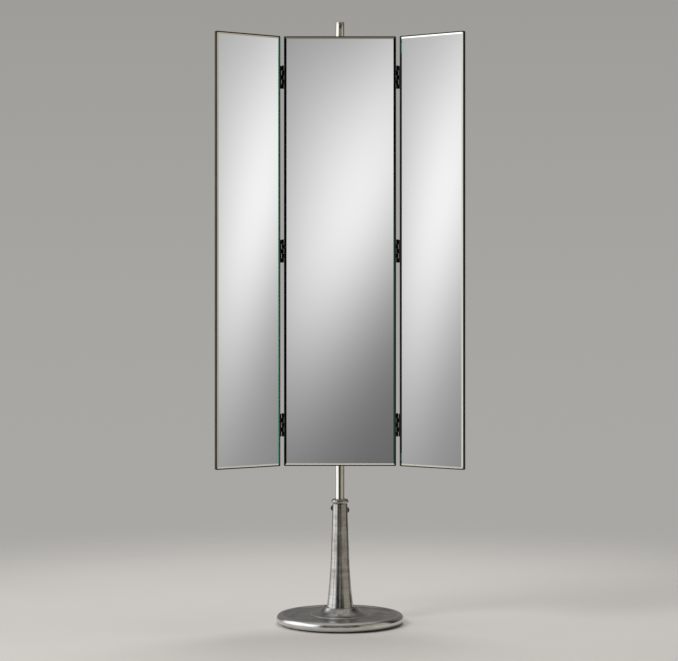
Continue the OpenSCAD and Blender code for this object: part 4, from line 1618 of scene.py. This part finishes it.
def panel_glow(n, azimuth, elevation):
    """The soft diagonal glow that each panel faces: a lit band that falls off above and below.

    Angles are in degrees. across runs from -1 to 1 over what one mirror shows.
    """
    side_facing, centre_half, side_half, reach = 69.5, 1.473, 0.887, 2.2
    wing = n.smooth(abs(azimuth), 34.0, 36.0)
    offset = azimuth - n.math("SIGN", azimuth) * wing * side_facing
    half_width = centre_half - wing * (centre_half - side_half)
    across = n.math("MINIMUM", n.math("MAXIMUM", offset / half_width, -reach), reach)

    def curve(level, slope, bend):
        return level + across * slope + across * across * bend

    ridge = curve(1.965, 1.583, 0.273)
    below = ridge - elevation
    right_side = n.math("GREATER_THAN", azimuth, -90.0) * n.math("LESS_THAN", azimuth, -34.0)
    spread_below = curve(4.64, -0.22, 0.33) * (1.0 + right_side * 0.08)
    spread_above = curve(6.06, -1.36, 0.68)
    is_below = n.math("GREATER_THAN", below, 0.0)
    spread = is_below * spread_below + (1.0 - is_below) * spread_above
    share = below / spread
    lit = n.math("EXPONENT", share * share * -1.0)
    peak = 0.915 + wing * 0.018 + across * 0.053 - across * across * (0.085 - wing * 0.014)
    foot = 0.384 + wing * 0.134
    level = foot + (peak - foot) * lit
    display_gamma, glass_loss = 2.2, 1.09
    glow = level ** display_gamma * glass_loss
    window = n.smooth(abs(offset), 4.6, 2.8) * n.smooth(abs(elevation), 12.0, 8.5)
    return glow, window


def studio_world(stage):
    """Soft boxes and dark flags for what the metal and glass reflect; a plain backdrop for the camera."""
    world = bpy.data.worlds.new("studio")
    bpy.context.scene.world = world
    world.use_nodes = True
    n = Nodes(world.node_tree)
    x, y, z = n.split(n.node("ShaderNodeTexCoord", out="Generated"))
    azimuth = n.math("ARCTAN2", x, -y) * degrees(1)
    elevation = n.math("ARCTAN2", z, (x * x + y * y) ** 0.5) * degrees(1)
    glow, window = panel_glow(n, azimuth, elevation)

    def box(centre, half, soft):
        return n.smooth(abs(azimuth - centre), half + soft, half)

    key_box = box(-84.0, 25.0, 30.0) * n.smooth(elevation, -22.0, -4.0) * n.smooth(elevation, 62.0, 40.0)
    fill_box = box(70.0, 29.0, 7.0) * n.smooth(elevation, -16.0, -4.0) * n.smooth(elevation, 50.0, 30.0)
    low_fill = box(34.0, 11.0, 7.0) * n.smooth(elevation, 5.0, -1.0) * n.smooth(elevation, -16.0, -4.0)
    teal_side = box(96.0, 5.0, 4.0)
    overhead = n.smooth(elevation, 42.0, 66.0)
    front_band = box(0.0, 22.0, 8.0) * n.smooth(elevation, 15.0, 21.0) * n.smooth(elevation, 44.0, 34.0)
    behind = n.smooth(abs(azimuth), 112.0, 150.0)
    below = n.smooth(elevation, -3.0, -14.0)
    light = (0.022, 0.020, 0.018)
    layers = (
        (behind, (0.20, 0.195, 0.185)),
        (below * 0.8, (0.13, 0.105, 0.08)),
        (teal_side, (0.21, 0.21, 0.20)),
        (n.math("MAXIMUM", fill_box, low_fill), (0.44, 0.41, 0.335)),
        (key_box, (1.52, 1.53, 1.54)),
        (front_band, (0.24, 0.225, 0.17)),
        (overhead, (0.50, 0.495, 0.485)),
        (window, n.join(glow, glow, glow)),
    )
    for share, colour in layers:
        light = n.blend(share, light, colour)
    lit = n.node("ShaderNodeBackground", sockets={"Color": light, "Strength": 1.0})
    tone = n.smooth(elevation, -6.0, 22.0)
    seen_colour = n.blend(tone, tuple(stage.backdrop), toned(stage.backdrop, 0.72))
    seen = n.node("ShaderNodeBackground", sockets={"Color": seen_colour, "Strength": 1.0})
    by_camera = n.node("ShaderNodeLightPath", out="Is Camera Ray")
    mixed = n.node("ShaderNodeMixShader", sockets={0: by_camera, 1: lit, 2: seen})
    n.node("ShaderNodeOutputWorld", sockets={"Surface": mixed})


def area_light(name, place, aim, width, power, colour):
    lamp = bpy.data.lights.new(name, "AREA")
    lamp.shape = "DISK"
    lamp.size = width
    lamp.energy = power
    lamp.color = colour
    light = bpy.data.objects.new(name, lamp)
    bpy.context.scene.collection.objects.link(light)
    light.location = place
    light.visible_glossy = False
    light.rotation_euler = (Vector(aim) - Vector(place)).to_track_quat("-Z", "Y").to_euler()


class MIRROR_OT_stage(bpy.types.Operator):
    """Sets the camera, the pale floor, the backdrop and the lights"""

    bl_idname = "mirror.stage"
    bl_label = "Stage"

    def execute(self, context):
        stage = context.scene.mirror_stage
        lens = bpy.data.cameras.new("studio_camera")
        lens.lens = stage.lens
        lens.sensor_width = 36.0
        lens.shift_x = stage.side
        lens.shift_y = stage.drop
        camera = bpy.data.objects.new("studio_camera", lens)
        context.scene.collection.objects.link(camera)
        camera.location = (0, -stage.distance, stage.eye)
        camera.rotation_euler = (pi / 2, 0, 0)
        context.scene.camera = camera
        context.scene.view_settings.view_transform = "Standard"
        studio_floor(stage)
        studio_world(stage)
        area_light("key", (-2.3, -2.0, 2.9), (0, 0, 0.6), 1.3, stage.key, (1.0, 0.985, 0.96))
        area_light("top", (0.4, 0.5, 3.6), (0, 0, 0), 2.2, stage.top, (1.0, 0.99, 0.98))
        return {"FINISHED"}


# ---------------------------------------------------------------- add-on

GROUPS = {
    "mirror_glass": MirrorGlassSizes,
    "mirror_hinge": MirrorHingeSizes,
    "mirror_bracket": MirrorBracketSizes,
    "mirror_stand": MirrorStandSizes,
    "mirror_screw": MirrorScrewSizes,
    "mirror_colours": MirrorColours,
    "mirror_stage": MirrorStageSizes,
}
STEPS = (
    MIRROR_OT_glass,
    MIRROR_OT_trays,
    MIRROR_OT_hinges,
    MIRROR_OT_rivets,
    MIRROR_OT_brackets,
    MIRROR_OT_screws,
    MIRROR_OT_pole,
    MIRROR_OT_column,
    MIRROR_OT_base,
    MIRROR_OT_wing_screw,
    MIRROR_OT_stage,
)


class MIRROR_PT_pieces(bpy.types.Panel):
    """Lists the steps that build the mirror"""

    bl_idname = "MIRROR_PT_pieces"
    bl_label = "Dressing mirror"
    bl_space_type = "VIEW_3D"
    bl_region_type = "UI"
    bl_category = "Mirror"

    def draw(self, context):
        for step in STEPS:
            self.layout.operator(step.bl_idname)


def register():
    for group in GROUPS.values():
        bpy.utils.register_class(group)
    for name, group in GROUPS.items():
        setattr(bpy.types.Scene, name, PointerProperty(type=group))
    for step in STEPS:
        bpy.utils.register_class(step)
    bpy.utils.register_class(MIRROR_PT_pieces)


def unregister():
    bpy.utils.unregister_class(MIRROR_PT_pieces)
    for step in reversed(STEPS):
        bpy.utils.unregister_class(step)
    for name in GROUPS:
        delattr(bpy.types.Scene, name)
    for group in reversed(list(GROUPS.values())):
        bpy.utils.unregister_class(group)


def main():
    register()
    for step in STEPS:
        name = step.bl_idname.split(".")[1]
        getattr(bpy.ops.mirror, name)()


if __name__ == "__main__":
    main()
